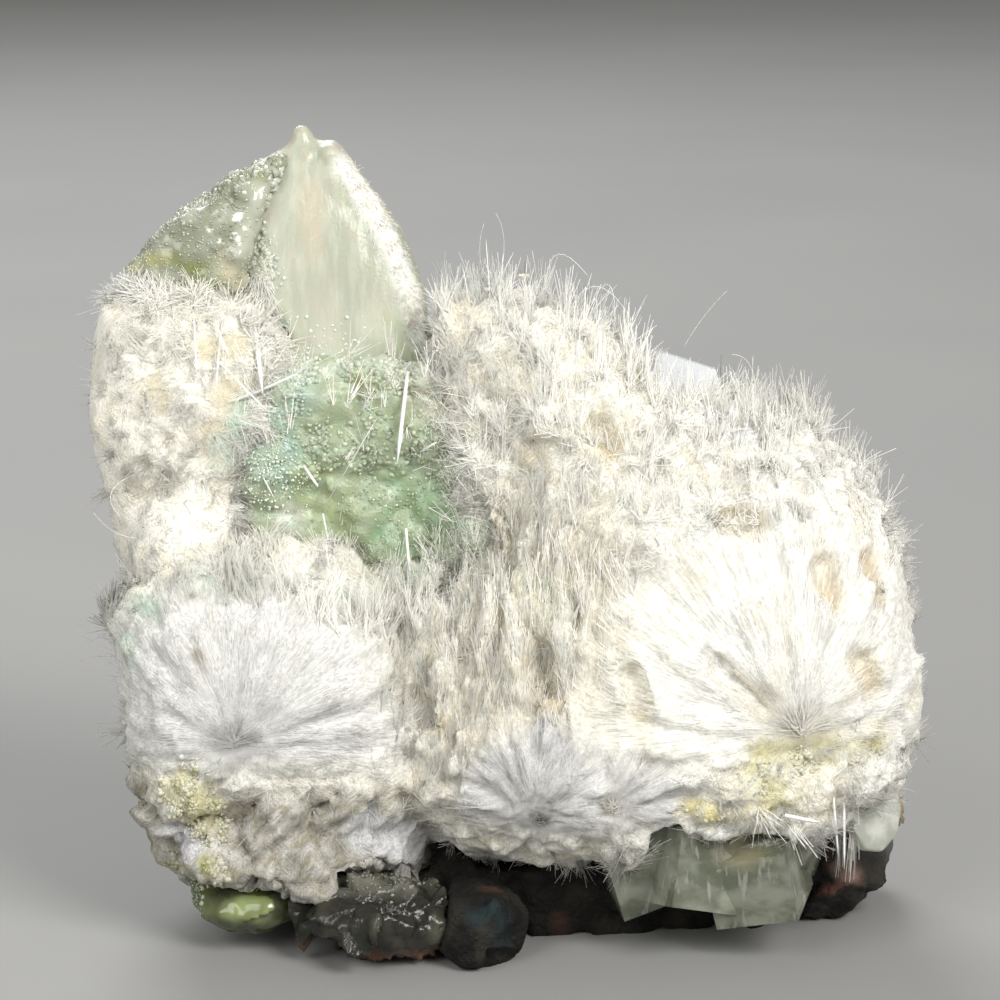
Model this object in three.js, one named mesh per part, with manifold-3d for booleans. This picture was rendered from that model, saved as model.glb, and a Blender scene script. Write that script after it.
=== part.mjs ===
// Okenite specimen with prehnite on basalt: a miniature that stands on its own broken base.
// Millimetres, +Z up. The origin is under the middle of the specimen, which faces -Y.
import * as THREE from "three";
import { ConvexGeometry } from "three/addons/geometries/ConvexGeometry.js";
import { ImprovedNoise } from "three/addons/math/ImprovedNoise.js";
import { mergeVertices } from "three/addons/utils/BufferGeometryUtils.js";
import Module from "manifold-3d";

// ---- Driving dimensions --------------------------------------------------------------------

const GAP = 0.3; // between pieces that touch
const BASE_Z = 0; // the flat broken underside

// Front outlines are lists of [x, z], once round the piece.
const RIGHT_MASS = {
  centre: [8.5, -1.5, 15.5],
  front: 10.7,
  back: 8.5,
  square: 0.68,
  rough: 0.9,
  grain: 3.6,
  detail: 5,
  outline: [
    [22.5, 14.6], [22.7, 12.2], [22.2, 9], [20.8, 7], [16.6, 6], [10, 5.4], [3.4, 4.4],
    [-3.4, 5], [-6.6, 10], [-6.6, 15], [-4.2, 18.4], [-1.4, 21.2], [-1, 24], [-3.2, 27],
    [-4.5, 30], [-4.7, 33.6], [-3.4, 36], [1.6, 35.2], [4.6, 33.8], [7.4, 31.9], [8.8, 30.2],
    [12.1, 28.8], [15.4, 29], [17.8, 27.7], [19.4, 25.6], [20.8, 22.7], [21.5, 19.2],
  ],
  taper: { from: 9, to: 34, end: 0.6 },
};
const LEFT_BALL = {
  centre: [-13.2, -2.6, 12],
  front: 8.2,
  back: 8,
  square: 0.6,
  rough: 0.5,
  grain: 3,
  detail: 3,
  outline: [
    [-3.4, 12.5], [-5.2, 18.4], [-9.4, 21], [-14.6, 22], [-18.6, 21], [-20.8, 19.4],
    [-21.5, 17.2], [-20.5, 14.3], [-20.8, 11.4], [-20.6, 9.3], [-19.8, 6.6], [-18.6, 4.9],
    [-16, 3.4], [-12, 2.8], [-8, 3], [-4, 6],
  ],
};
// Between the ball and the right mass the surface dips, with no step.
const VALLEY = { centre: [-5.2, -3, 13], half: [5.2, 6.1, 8.4], rough: 0.8, grain: 2.6, detail: 2 };
const OVERHANG = { centre: [2.2, -4.6, 10.6], half: [10, 7.4, 6.2], rough: 0.8, grain: 2.6, detail: 3 };
const LOWER_LEFT = { centre: [-11.8, -5, 5.3], half: [7.6, 6, 4], rough: 0.8, grain: 2.4, detail: 3 };
const CAVITY = { centre: [2.3, -12, 2.2], half: [5.8, 5.8, 3.4], rough: 0.5, grain: 2, detail: 2 };

const NEST = {
  centre: [-17.6, 0.4, 27.4],
  front: 5.6,
  back: 5.6,
  square: 0.7,
  rough: 0.6,
  grain: 2.6,
  detail: 3,
  outline: [
    [-14.2, 26], [-12.4, 30.4], [-11.6, 33], [-13.4, 34.6], [-16.4, 35.6], [-19.8, 36],
    [-21.9, 35.6], [-22.4, 32.8], [-22.6, 29.8], [-22.5, 26.6], [-22, 24.4], [-21.3, 23],
    [-21.7, 20.4], [-20.8, 18.6], [-17.4, 17.4], [-14.6, 18.6], [-14.2, 22],
  ],
};
const LEFT_FUR = { centre: [-17.4, -2.8, 20.6], half: [3.7, 4.8, 5.2], rough: 0.5, grain: 2, detail: 2 };

const FIN = {
  centre: [-9.4, 1.4, 33.5],
  front: 4.2,
  back: 3.4,
  square: 0.6,
  rough: 0.16,
  grain: 3.4,
  detail: 3,
  outline: [
    [-4.1, 30.2], [-4.7, 33.4], [-5.4, 36.4], [-6, 38.4], [-7.4, 40.4], [-8.4, 41.4],
    [-9.2, 43.2], [-10.6, 43.5], [-12.4, 42.9], [-13.6, 42.6], [-14.9, 40.8], [-14.6, 37],
    [-14, 33], [-13.9, 29], [-12.4, 26.4], [-8.6, 25.4], [-4.9, 27],
  ],
  taper: { from: 28, to: 43, end: 0.42 },
};
const FIN_KNOB = { centre: [-11.3, 1.4, 43.2], half: [0.55, 0.6, 0.95], rough: 0, grain: 1, detail: 1 };

const CRUST = {
  centre: [-16.6, 1.2, 37.6],
  front: 3.6,
  back: 3.6,
  square: 0.7,
  rough: 0.3,
  grain: 1.2,
  detail: 2,
  outline: [
    [-14.2, 37], [-13.4, 40], [-11.9, 42.7], [-13.2, 43], [-14.2, 42.2], [-15.2, 41.2],
    [-15.7, 40.3], [-17, 39.2], [-18.8, 38], [-20.6, 36.6], [-22, 35.5], [-20.4, 34.4],
    [-17.6, 34.2], [-15.2, 33.6],
  ],
};

const POCKET = {
  centre: [-7.6, 0.2, 24.4],
  front: 5,
  back: 3.4,
  square: 0.5,
  rough: 0.7,
  grain: 2.4,
  detail: 3,
  outline: [
    [1.4, 22.6], [-1.4, 27.4], [-4, 31.4], [-8.4, 32], [-12.4, 31.2], [-15, 28.8],
    [-16.4, 25], [-15.4, 20.8], [-11, 18], [-4.4, 17], [0, 19],
  ],
};
const NODULE = { centre: [-14.2, -8, 2.4], half: [2.8, 2.1, 1.5], rough: 0.12, grain: 1.6, detail: 1 };
const NODULE_KNOBS = [
  { centre: [-17.2, -6.4, 4.1], half: [1.1, 1.2, 1.1], rough: 0.1, grain: 1, detail: 1 },
  { centre: [-16.3, -7.4, 2.9], half: [1.2, 1.3, 1.1], rough: 0.1, grain: 1, detail: 1 },
];

const BASALT_LUMPS = [
  {
    centre: [1, 4, 8],
    front: 10,
    back: 9.4,
    square: 0.5,
    rough: 1.6,
    grain: 5,
    detail: 3,
    outline: [
      [19.6, 3], [18.6, 9], [18.8, 15], [15.4, 21.4], [10.6, 23.6], [5.4, 27], [-1, 26.4],
      [-6, 21.6], [-12.4, 20], [-16.6, 14], [-15.4, 9], [-17, 4.4], [-13, -1.6], [0, -2.6], [14, -2.4],
    ],
  },
  { centre: [18, 0.6, 3.2], half: [4, 6, 3.9], rough: 0.6, grain: 2.2, detail: 1 },
  { centre: [-1.9, -8.6, 2], half: [2.7, 4.2, 2.3], rough: 0.6, grain: 1.6, detail: 1 },
];
// Flat faces that the hammer left on the basalt: a point on each and the way it faces.
const BASALT_BREAKS = [
  { at: [2, 10.2, 8], facing: [0.06, 1, 0.1] },
  { at: [-9, 8, 18], facing: [-0.55, 0.35, 0.75] },
  { at: [12, 8, 20], facing: [0.6, 0.45, 0.66] },
  { at: [1, 9.4, 23.4], facing: [0.05, 0.5, 0.85] },
  { at: [-13.6, 8, 8], facing: [-0.8, 0.6, 0.06] },
  { at: [16.4, 9, 9], facing: [0.76, 0.64, -0.1] },
  { at: [0, 10.2, 2.6], facing: [-0.1, 0.7, -0.7] },
];

// Fans of needle bundles over the front: the heart in [x, z], how far from it the bundles start
// and end, and between which angles they spread, in degrees from +X towards +Z.
const FANS = [
  { heart: [-14.4, 12.2], inner: 0.3, reach: 8.2, spread: [5, 215],
    bundles: 12, wide: 2.2, rise: 0.5, seed: 11 },
  { heart: [15.6, 12.4], inner: 0.3, reach: 10.5, spread: [10, 190],
    bundles: 12, wide: 2.6, rise: 0.6, seed: 12 },
  { heart: [1.7, 8.6], inner: 0.2, reach: 4, spread: [20, 190],
    bundles: 7, wide: 1.4, rise: 0.5, seed: 13 },
  { heart: [5.9, 8.8], inner: 0.2, reach: 3.8, spread: [0, 150],
    bundles: 6, wide: 1.4, rise: 0.5, seed: 14 },
  { heart: [-1, 34], inner: 14, reach: 24, spread: [-104, -66],
    bundles: 7, wide: 1.6, rise: 0.6, seed: 15 },
];
const FAN_STEPS = [0, 0.5, 1]; // the stations of a bundle, as parts of its length
const FAN_START = 0.15; // how wide and high a bundle is at its heart, as a part of its end
const ROOT = 0.5; // how deep a bundle is sunk in its mass
const FRONT = -40; // in front of everything
const BRISTLE_ROOT = 0.45; // how much of a lone needle is sunk, as a part of what stands out
const CRYSTAL_ROOT = 0.15; // how deep a small crystal's middle is sunk, as a part of its radius

// Clear blades: the corners of each plate in [x, z], its middle plane y and thickness.
const CLEAR_BLADES = [
  { name: "clear_blade_left", y: 1.2, thick: 0.5, lean: -0.08,
    corners: [[7.6, 26.2], [8.2, 31.4], [8.6, 31.5], [11.5, 30.6], [12, 29], [11.9, 26]] },
  { name: "clear_blade_right", y: 2.6, thick: 0.45, lean: 0.1,
    corners: [[12.1, 26], [12.2, 28.4], [13.2, 29.1], [14.5, 28.9], [14.9, 25.6]] },
];

// Blocky crystals at the foot: place, half sizes, turns about Z and X.
const FOOT_CRYSTALS = [
  { at: [9.4, -8.4, 5.4], half: [2.4, 2.6, 2.9], turn: 0.3, tip: 0.12 },
  { at: [12.8, -8.2, 4.2], half: [2.3, 2.4, 2.3], turn: -0.25, tip: -0.1 },
  { at: [14.9, -7, 3.8], half: [1.3, 2.2, 1.8], turn: 0.5, tip: 0.2 },
  { at: [13.8, -7.4, 6.8], half: [1.3, 2.4, 1.6], turn: 0.1, tip: -0.2 },
  { at: [6.8, -9, 3.8], half: [1.7, 2.2, 1.4], turn: -0.5, tip: 0.15 },
  { at: [16.2, -6, 6], half: [1, 1.9, 1.5], turn: -0.3, tip: 0.1 },
];
const FOOT_CHALCEDONY = {
  centre: [-7.2, -9.4, 2.5],
  half: [4.2, 3.4, 2.3],
  rough: 0.45,
  grain: 2,
  detail: 1,
};
const RIM_BLADE = { centre: [20.4, -3.2, 6.4], half: [1.8, 0.9, 1.9], rough: 0.1, grain: 1.2, detail: 1 };

// ---- Helpers -------------------------------------------------------------------------------

const wasm = await Module();
wasm.setup();
const noise = new ImprovedNoise();
const UP = new THREE.Vector3(0, 1, 0);

// A repeatable stream of numbers from 0 to 1.
function stream(seed) {
  let state = seed;
  return () => {
    state = (Math.imul(state, 1664525) + 1013904223) >>> 0;
    return state / 4294967296;
  };
}

function solidOf(geometry) {
  const bare = geometry.clone();
  bare.deleteAttribute("normal");
  bare.deleteAttribute("uv");
  const merged = mergeVertices(bare, 1e-4);
  return new wasm.Manifold(
    new wasm.Mesh({
      numProp: 3,
      vertProperties: merged.attributes.position.array,
      triVerts: new Uint32Array(merged.index.array),
    }),
  );
}

function geometryOf(solid) {
  const mesh = solid.getMesh();
  const geometry = new THREE.BufferGeometry();
  geometry.setAttribute("position", new THREE.BufferAttribute(mesh.vertProperties, 3));
  geometry.setIndex(new THREE.BufferAttribute(mesh.triVerts, 1));
  geometry.computeVertexNormals();
  return geometry;
}

function joined(solids) {
  return solids.reduce((whole, next) => whole.add(next));
}

// The largest body of a cut solid: crumbs that a cut leaves are dropped.
function mainBody(solid) {
  return solid.decompose().reduce((best, body) => (body.volume() > best.volume() ? body : best));
}

// Growths that stay clear of other pieces.
function clearOf(growths, pieces) {
  return growths.filter((growth) => pieces.every((piece) => growth.intersect(piece).isEmpty()));
}

function lumpiness(point, grain) {
  const [x, y, z] = point.toArray().map((value) => value / grain);
  return noise.noise(x + 7, y + 3, z + 5) + 0.5 * noise.noise(2.1 * x, 2.1 * y + 9, 2.1 * z + 1);
}

// The distance from the centre to the outline in a direction given by its angle.
function reachAt(outline, centre, angle) {
  const spokes = outline
    .map(([x, z]) => [Math.atan2(z - centre[2], x - centre[0]), Math.hypot(x - centre[0], z - centre[2])])
    .sort((a, b) => a[0] - b[0]);
  const last = spokes.at(-1);
  const ring = [[last[0] - 2 * Math.PI, last[1]], ...spokes, [spokes[0][0] + 2 * Math.PI, spokes[0][1]]];
  const next = ring.findIndex((spoke) => spoke[0] > angle);
  const [a, b] = [ring[next - 1], ring[next]];
  return THREE.MathUtils.mapLinear(angle, a[0], b[0], a[1], b[1]);
}

// Where a mass's surface lies in a direction from its centre.
function surfaceOf(mass, direction, grow = 0) {
  const { centre, rough, grain } = mass;
  const middle = new THREE.Vector3(...centre);
  const point = new THREE.Vector3();
  if (mass.outline) {
    const wide = Math.hypot(direction.x, direction.z);
    const angle = Math.atan2(direction.z, direction.x);
    const mean = (mass.outline.reduce((sum, [x, z]) => sum + Math.hypot(x - centre[0], z - centre[2]), 0))
      / mass.outline.length;
    // The outline is followed at the rim and fades into a round front.
    const reach = THREE.MathUtils.lerp(mean, reachAt(mass.outline, centre, angle), wide ** 1.4)
      * wide ** mass.square;
    point.set(reach * Math.cos(angle), 0, reach * Math.sin(angle));
    point.y = Math.sign(direction.y) * Math.abs(direction.y) ** mass.square;
    point.y *= direction.y < 0 ? mass.front : mass.back;
    if (mass.taper) {
      const { from, to, end } = mass.taper;
      point.y *= THREE.MathUtils.clamp(
        THREE.MathUtils.mapLinear(point.z + centre[2], from, to, 1, end), end, 1);
    }
  } else {
    point.copy(direction).multiply(new THREE.Vector3(...mass.half));
  }
  const out = direction.clone();
  const swell = rough * lumpiness(point.clone().add(middle), grain);
  // An outline mass keeps its outline: the lumps fade towards its rim.
  const held = mass.outline ? 0.25 + 0.75 * Math.abs(direction.y) : 1;
  return point.addScaledVector(out, swell * held + grow).add(middle);
}

function massSolid(mass, grow = 0) {
  const geometry = new THREE.IcosahedronGeometry(1, mass.detail);
  const position = geometry.attributes.position;
  const direction = new THREE.Vector3();
  for (let i = 0; i < position.count; i += 1) {
    direction.fromBufferAttribute(position, i).normalize();
    position.setXYZ(i, ...surfaceOf(mass, direction, grow).toArray());
  }
  return solidOf(geometry);
}

// A slim three-sided needle from a root to a tip.
function needle(root, direction, length, width) {
  const geometry = new THREE.ConeGeometry(width / 2, length, 3);
  geometry.translate(0, length / 2, 0);
  geometry.applyQuaternion(new THREE.Quaternion().setFromUnitVectors(UP, direction.clone().normalize()));
  geometry.translate(root.x, root.y, root.z);
  return solidOf(geometry);
}

// A number between two limits, and a direction in a sector given in degrees: azimuth from -Y
// towards +X, height from the level.
const between = (random, [low, high]) => low + (high - low) * random();

function towards(random, azimuth, height) {
  const side = THREE.MathUtils.degToRad(between(random, azimuth));
  const rise = THREE.MathUtils.degToRad(between(random, height));
  return new THREE.Vector3(
    Math.cos(rise) * Math.sin(side), -Math.cos(rise) * Math.cos(side), Math.sin(rise));
}

// Needles that stand on a mass, rooted a little inside it and leaning at random.
function bristles(mass, { count, azimuth, height, length, width, lean, seed }) {
  const random = stream(seed);
  const sway = () => between(random, [-lean, lean]);
  return Array.from({ length: count }, () => {
    const direction = towards(random, azimuth, height);
    const tip = direction.clone().add(new THREE.Vector3(sway(), sway(), sway())).normalize();
    const long = between(random, length);
    const root = surfaceOf(mass, direction).addScaledVector(tip, -BRISTLE_ROOT * long);
    return needle(root, tip, (1 + BRISTLE_ROOT) * long, between(random, width));
  });
}

// Where a line from the front meets a body, and which way the surface faces there.
function frontOf(body, x, z) {
  const ray = new THREE.Raycaster(new THREE.Vector3(x, FRONT, z), new THREE.Vector3(0, 1, 0));
  const [hit] = ray.intersectObject(body);
  return hit && { point: hit.point, out: hit.face.normal };
}

// A bundle of needles as a low ridge: three-cornered sections, each pair joined by their hull.
function ridge(stations, along, wide, rise) {
  const sections = stations.map(({ point, out, share }) => {
    const side = new THREE.Vector3().crossVectors(along, out).setLength(0.5 * wide(share));
    const foot = point.clone().addScaledVector(out, -ROOT);
    const crest = point.clone().addScaledVector(out, rise(share));
    return [foot.clone().add(side), foot.clone().sub(side), crest];
  });
  const spans = sections.slice(1).map((section, i) => [...sections[i], ...section]);
  return joined(spans.map((corners) => wasm.Manifold.hull(corners.map((corner) => corner.toArray()))));
}

// The bundles of one fan, which widen and rise outwards over the body that carries them.
function fanOf(body, { heart, inner, reach, spread, bundles, wide, rise, seed }, grow) {
  const random = stream(seed);
  const [from, to] = spread;
  return Array.from({ length: bundles }, (_, i) => {
    const angle = THREE.MathUtils.degToRad(from + ((to - from) * (i + 0.6 * random())) / (bundles - 1));
    const along = new THREE.Vector3(Math.cos(angle), 0, Math.sin(angle));
    const end = THREE.MathUtils.lerp(inner, reach, 0.65 + 0.35 * random());
    const stations = FAN_STEPS.map((part) => {
      const away = THREE.MathUtils.lerp(inner, end, part);
      const met = frontOf(body, heart[0] + away * along.x, heart[1] + away * along.z);
      return met && { ...met, share: THREE.MathUtils.lerp(FAN_START, 1, part) };
    }).filter(Boolean);
    return stations.length > 1
      && ridge(stations, along, (share) => wide * share + 2 * grow, (share) => rise * share + grow);
  }).filter(Boolean);
}

// ---- Pieces --------------------------------------------------------------------------------

// White okenite: the ball and the shaggy mass, grown together.
function okeniteMain(grow = 0) {
  const lumps = [RIGHT_MASS, LEFT_BALL, VALLEY, OVERHANG, LOWER_LEFT];
  const bodyOf = (more) =>
    joined(lumps.map((lump) => massSolid(lump, more))).subtract(massSolid(CAVITY, -more));
  const carrier = new THREE.Mesh(geometryOf(bodyOf(0)));
  const faced = joined([bodyOf(grow), ...FANS.flatMap((fan) => fanOf(carrier, fan, grow))]);
  if (grow > 0) return faced;
  const growth = [
    ...bristles(RIGHT_MASS, { count: 26, azimuth: [-120, 120], height: [48, 86], length: [1, 2.3],
      width: [0.5, 1], lean: 0.6, seed: 21 }),
    ...bristles(RIGHT_MASS, { count: 8, azimuth: [60, 110], height: [0, 48], length: [0.6, 1],
      width: [0.4, 0.8], lean: 0.4, seed: 22 }),
    ...bristles(RIGHT_MASS, { count: 7, azimuth: [-60, 20], height: [12, 48], length: [1, 1.8],
      width: [0.6, 1], lean: 0.9, seed: 23 }),
  ];
  return joined([faced, ...clearOf(growth, [okeniteNest(GAP), fin(GAP), massSolid(CRUST, GAP)])]);
}

// Tangled okenite at the upper left.
function okeniteNest(grow = 0) {
  const body = joined([massSolid(NEST, grow), massSolid(LEFT_FUR, grow)]);
  if (grow > 0) return body;
  const needles = bristles(NEST, { count: 16, azimuth: [-80, 50], height: [-35, 50], length: [0.4, 0.7],
    width: [0.4, 0.7], lean: 1.1, seed: 31 });
  return joined([body, ...clearOf(needles, [fin(GAP), massSolid(CRUST, GAP), massSolid(POCKET)])]);
}

// Milky chalcedony standing up as a thick fin, with a furry right edge.
function fin(grow = 0) {
  const body = joined([massSolid(FIN, grow), massSolid(FIN_KNOB, grow)]);
  if (grow > 0) return body;
  const edge = bristles(FIN, { count: 7, azimuth: [70, 110], height: [-15, 60], length: [0.5, 1],
    width: [0.4, 0.7], lean: 0.5, seed: 41 });
  return joined([body, ...edge]);
}

// Small glassy crystals with flat faces, half sunk in a mass.
function crystalsOn(mass, { count, azimuth, height, size, seed }) {
  const random = stream(seed);
  return Array.from({ length: count }, () => {
    const direction = towards(random, azimuth, height);
    const radius = between(random, size);
    const geometry = new THREE.OctahedronGeometry(radius);
    geometry.rotateX(Math.PI * random());
    geometry.rotateY(Math.PI * random());
    const at = surfaceOf(mass, direction).addScaledVector(direction, -CRYSTAL_ROOT * radius);
    geometry.translate(at.x, at.y, at.z);
    return solidOf(geometry);
  });
}

function drusyCrust() {
  const crystals = crystalsOn(CRUST, { count: 14, azimuth: [-110, 60], height: [-30, 85],
    size: [0.45, 0.75], seed: 51 });
  return joined([massSolid(CRUST), ...crystals]);
}

// Green prehnite: a knobbly lining with small crystals.
function prehnitePocket() {
  const crystals = crystalsOn(POCKET, { count: 13, azimuth: [-70, 70], height: [-60, 60],
    size: [0.6, 1.1], seed: 61 });
  return joined([massSolid(POCKET), ...crystals]);
}

function prehniteNodule(grow = 0) {
  return joined([NODULE, ...NODULE_KNOBS].map((lump) => massSolid(lump, grow)));
}

// Dark rock, broken to flat faces behind and below.
function basalt() {
  const [main, ...feet] = BASALT_LUMPS.map((lump) => massSolid(lump));
  const dressed = BASALT_BREAKS.reduce((solid, { at, facing }) => {
    const inward = new THREE.Vector3(...facing).normalize().negate();
    return solid.trimByPlane(inward.toArray(), inward.dot(new THREE.Vector3(...at)));
  }, main);
  return joined([dressed, ...feet]).trimByPlane([0, 0, 1], BASE_Z);
}

function clearBlade({ y, thick, lean, corners }, grow = 0) {
  const shape = new THREE.Shape(corners.map(([x, z]) => new THREE.Vector2(x, z)));
  const depth = thick + 2 * grow;
  const geometry = new THREE.ExtrudeGeometry(shape, { depth, bevelEnabled: false });
  geometry.rotateX(Math.PI / 2);
  geometry.translate(0, y + depth / 2, 0);
  const foot = corners[0];
  geometry.translate(-foot[0], -y, -foot[1]);
  geometry.rotateZ(lean);
  geometry.translate(foot[0], y, foot[1]);
  return solidOf(geometry);
}

// A block with its upper corners bevelled by small faces.
function blockCrystal({ at, half, turn, tip }, grow = 0) {
  const [a, b, c] = half.map((value) => value + grow);
  const points = [];
  for (const [x, y] of [[-1, -1], [-1, 1], [1, -1], [1, 1]]) {
    points.push(new THREE.Vector3(x * a, y * b, -c));
    points.push(new THREE.Vector3(x * a, y * b, 0.5 * c));
    points.push(new THREE.Vector3(0.62 * x * a, 0.8 * y * b, 0.9 * c));
  }
  points.push(new THREE.Vector3(0.15 * a, 0, 1.1 * c));
  const geometry = new ConvexGeometry(points);
  geometry.rotateX(tip);
  geometry.rotateZ(turn);
  geometry.translate(...at);
  return solidOf(geometry);
}

function footCrystals(grow = 0) {
  return joined(FOOT_CRYSTALS.map((crystal) => blockCrystal(crystal, grow)));
}

// ---- Assembly ------------------------------------------------------------------------------

const object = new THREE.Group();

function place(name, solid, colour, roughness) {
  const material = new THREE.MeshStandardMaterial({ color: colour, roughness, metalness: 0 });
  const mesh = new THREE.Mesh(geometryOf(mainBody(solid)), material);
  mesh.name = name;
  object.add(mesh);
}

// Each piece gives way to the ones that grew before it.
const above = (solid) => solid.trimByPlane([0, 0, 1], BASE_Z);
const mainGrown = okeniteMain(GAP);
const nestGrown = okeniteNest(GAP);
const finGrown = fin(GAP);
const crystalsGrown = footCrystals(GAP);
const noduleGrown = prehniteNodule(GAP);
const chalcedonyGrown = massSolid(FOOT_CHALCEDONY, GAP);
const rimGrown = massSolid(RIM_BLADE, GAP);
const bladesGrown = CLEAR_BLADES.map((blade) => clearBlade(blade, GAP));

const main = [crystalsGrown, noduleGrown, chalcedonyGrown, rimGrown, ...bladesGrown].reduce(
  (solid, cut) => solid.subtract(cut), okeniteMain());
place("okenite_mass", above(main), 0xf2f1ea, 0.75);
place("okenite_nest", okeniteNest().subtract(mainGrown), 0xf1ecdc, 0.8);
place("chalcedony_fin", fin().subtract(mainGrown).subtract(nestGrown), 0xdfe0cc, 0.35);
place("drusy_crust", drusyCrust().subtract(nestGrown).subtract(finGrown), 0xb6bd9c, 0.25);
place("prehnite_pocket",
  prehnitePocket().subtract(mainGrown).subtract(nestGrown).subtract(finGrown), 0x93b896, 0.35);
place("prehnite_nodule", above(prehniteNodule()), 0x7f8548, 0.3);
place("foot_crystals", above(footCrystals()), 0xb9c2ad, 0.2);
place("foot_chalcedony",
  above(massSolid(FOOT_CHALCEDONY)).subtract(noduleGrown), 0x8a8d84, 0.3);
place("rim_blade", massSolid(RIM_BLADE), 0xa9ada0, 0.2);
CLEAR_BLADES.forEach((blade) => place(blade.name, clearBlade(blade), 0xe6edf2, 0.1));

const neighbours = [mainGrown, nestGrown, finGrown, massSolid(POCKET, GAP), crystalsGrown,
  noduleGrown, chalcedonyGrown, rimGrown];
place("basalt_matrix", neighbours.reduce((solid, cut) => solid.subtract(cut), basalt()), 0x33342f, 0.85);

// The origin is the middle of the specimen's footprint box.
const box = new THREE.Box3().setFromObject(object);
object.position.set(-(box.min.x + box.max.x) / 2, -(box.min.y + box.max.y) / 2, 0);

export default object;
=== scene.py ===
# %% [markdown]
# # A specimen of okenite, built around a fixed frame
#
# The real thing is a hand-sized piece of rock from a gas bubble in old lava. White okenite needles
# fill most of it, with a green prehnite pocket, a tall fin of milky chalcedony and a foot of dark
# basalt. The frame holds the plain solids at their real size. Here each of them gets its skin:
# a rough core, then the crystals that grow on it.

# %% Load the frame
import math

import bpy
import numpy as np
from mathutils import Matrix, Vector, noise


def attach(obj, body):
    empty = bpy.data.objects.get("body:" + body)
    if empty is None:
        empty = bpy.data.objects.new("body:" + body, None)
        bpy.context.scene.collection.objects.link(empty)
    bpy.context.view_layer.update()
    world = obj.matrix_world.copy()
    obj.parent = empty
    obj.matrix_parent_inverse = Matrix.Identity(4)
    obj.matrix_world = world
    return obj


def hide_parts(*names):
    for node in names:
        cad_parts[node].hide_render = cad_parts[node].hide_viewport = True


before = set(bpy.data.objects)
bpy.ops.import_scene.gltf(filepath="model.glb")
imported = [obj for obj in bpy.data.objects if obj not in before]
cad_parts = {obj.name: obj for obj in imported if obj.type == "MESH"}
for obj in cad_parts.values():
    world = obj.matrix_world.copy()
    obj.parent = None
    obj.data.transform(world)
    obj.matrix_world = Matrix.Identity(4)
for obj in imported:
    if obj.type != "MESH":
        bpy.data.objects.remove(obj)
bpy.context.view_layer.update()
MM = 0.001
print("frame:", sorted(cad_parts))

# %% [markdown]
# ## Camera, floor and light
#
# The camera stands a little above the middle of the stone and looks slightly down, as a person
# would at a piece on a shelf. A long lens keeps the proportions natural.

# %% Camera
ELEVATION = math.radians(12.3)
DISTANCE = 0.208
LENS = 134.8
TARGET = Vector((-0.00041, 0.00075, 0.02337))
look = Vector((0, math.cos(ELEVATION), -math.sin(ELEVATION)))

bpy.ops.object.camera_add(location=TARGET - look * DISTANCE)
camera = bpy.context.object
camera.name = "camera"
camera.rotation_euler = look.to_track_quat("-Z", "Y").to_euler()
camera.data.sensor_width = 36
camera.data.lens = LENS
camera.data.clip_start = 0.01
bpy.context.scene.camera = camera
print("camera at", [round(v, 4) for v in camera.location])

# %% [markdown]
# Shader maths is easier to read as ordinary expressions. `Value` wraps one socket of a shader, so
# that `1 - mask * 0.5` adds the Math nodes by itself. `Finish` holds a material while it is made,
# and its `node` method adds every other kind of node.


# %% Shader helpers
class Value:
    """A number in a shader: a socket that Python's signs work on."""

    def __init__(self, finish, socket):
        self.finish = finish
        self.socket = socket

    def maths(self, operation, first, second):
        return self.finish.node("ShaderNodeMath", {"operation": operation}, {0: first, 1: second})

    def __add__(self, other):
        return self.maths("ADD", self, other)

    def __sub__(self, other):
        return self.maths("SUBTRACT", self, other)

    def __rsub__(self, other):
        return self.maths("SUBTRACT", other, self)

    def __mul__(self, other):
        return self.maths("MULTIPLY", self, other)

    def __pow__(self, other):
        return self.maths("POWER", self, other)

    __radd__ = __add__
    __rmul__ = __mul__


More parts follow.
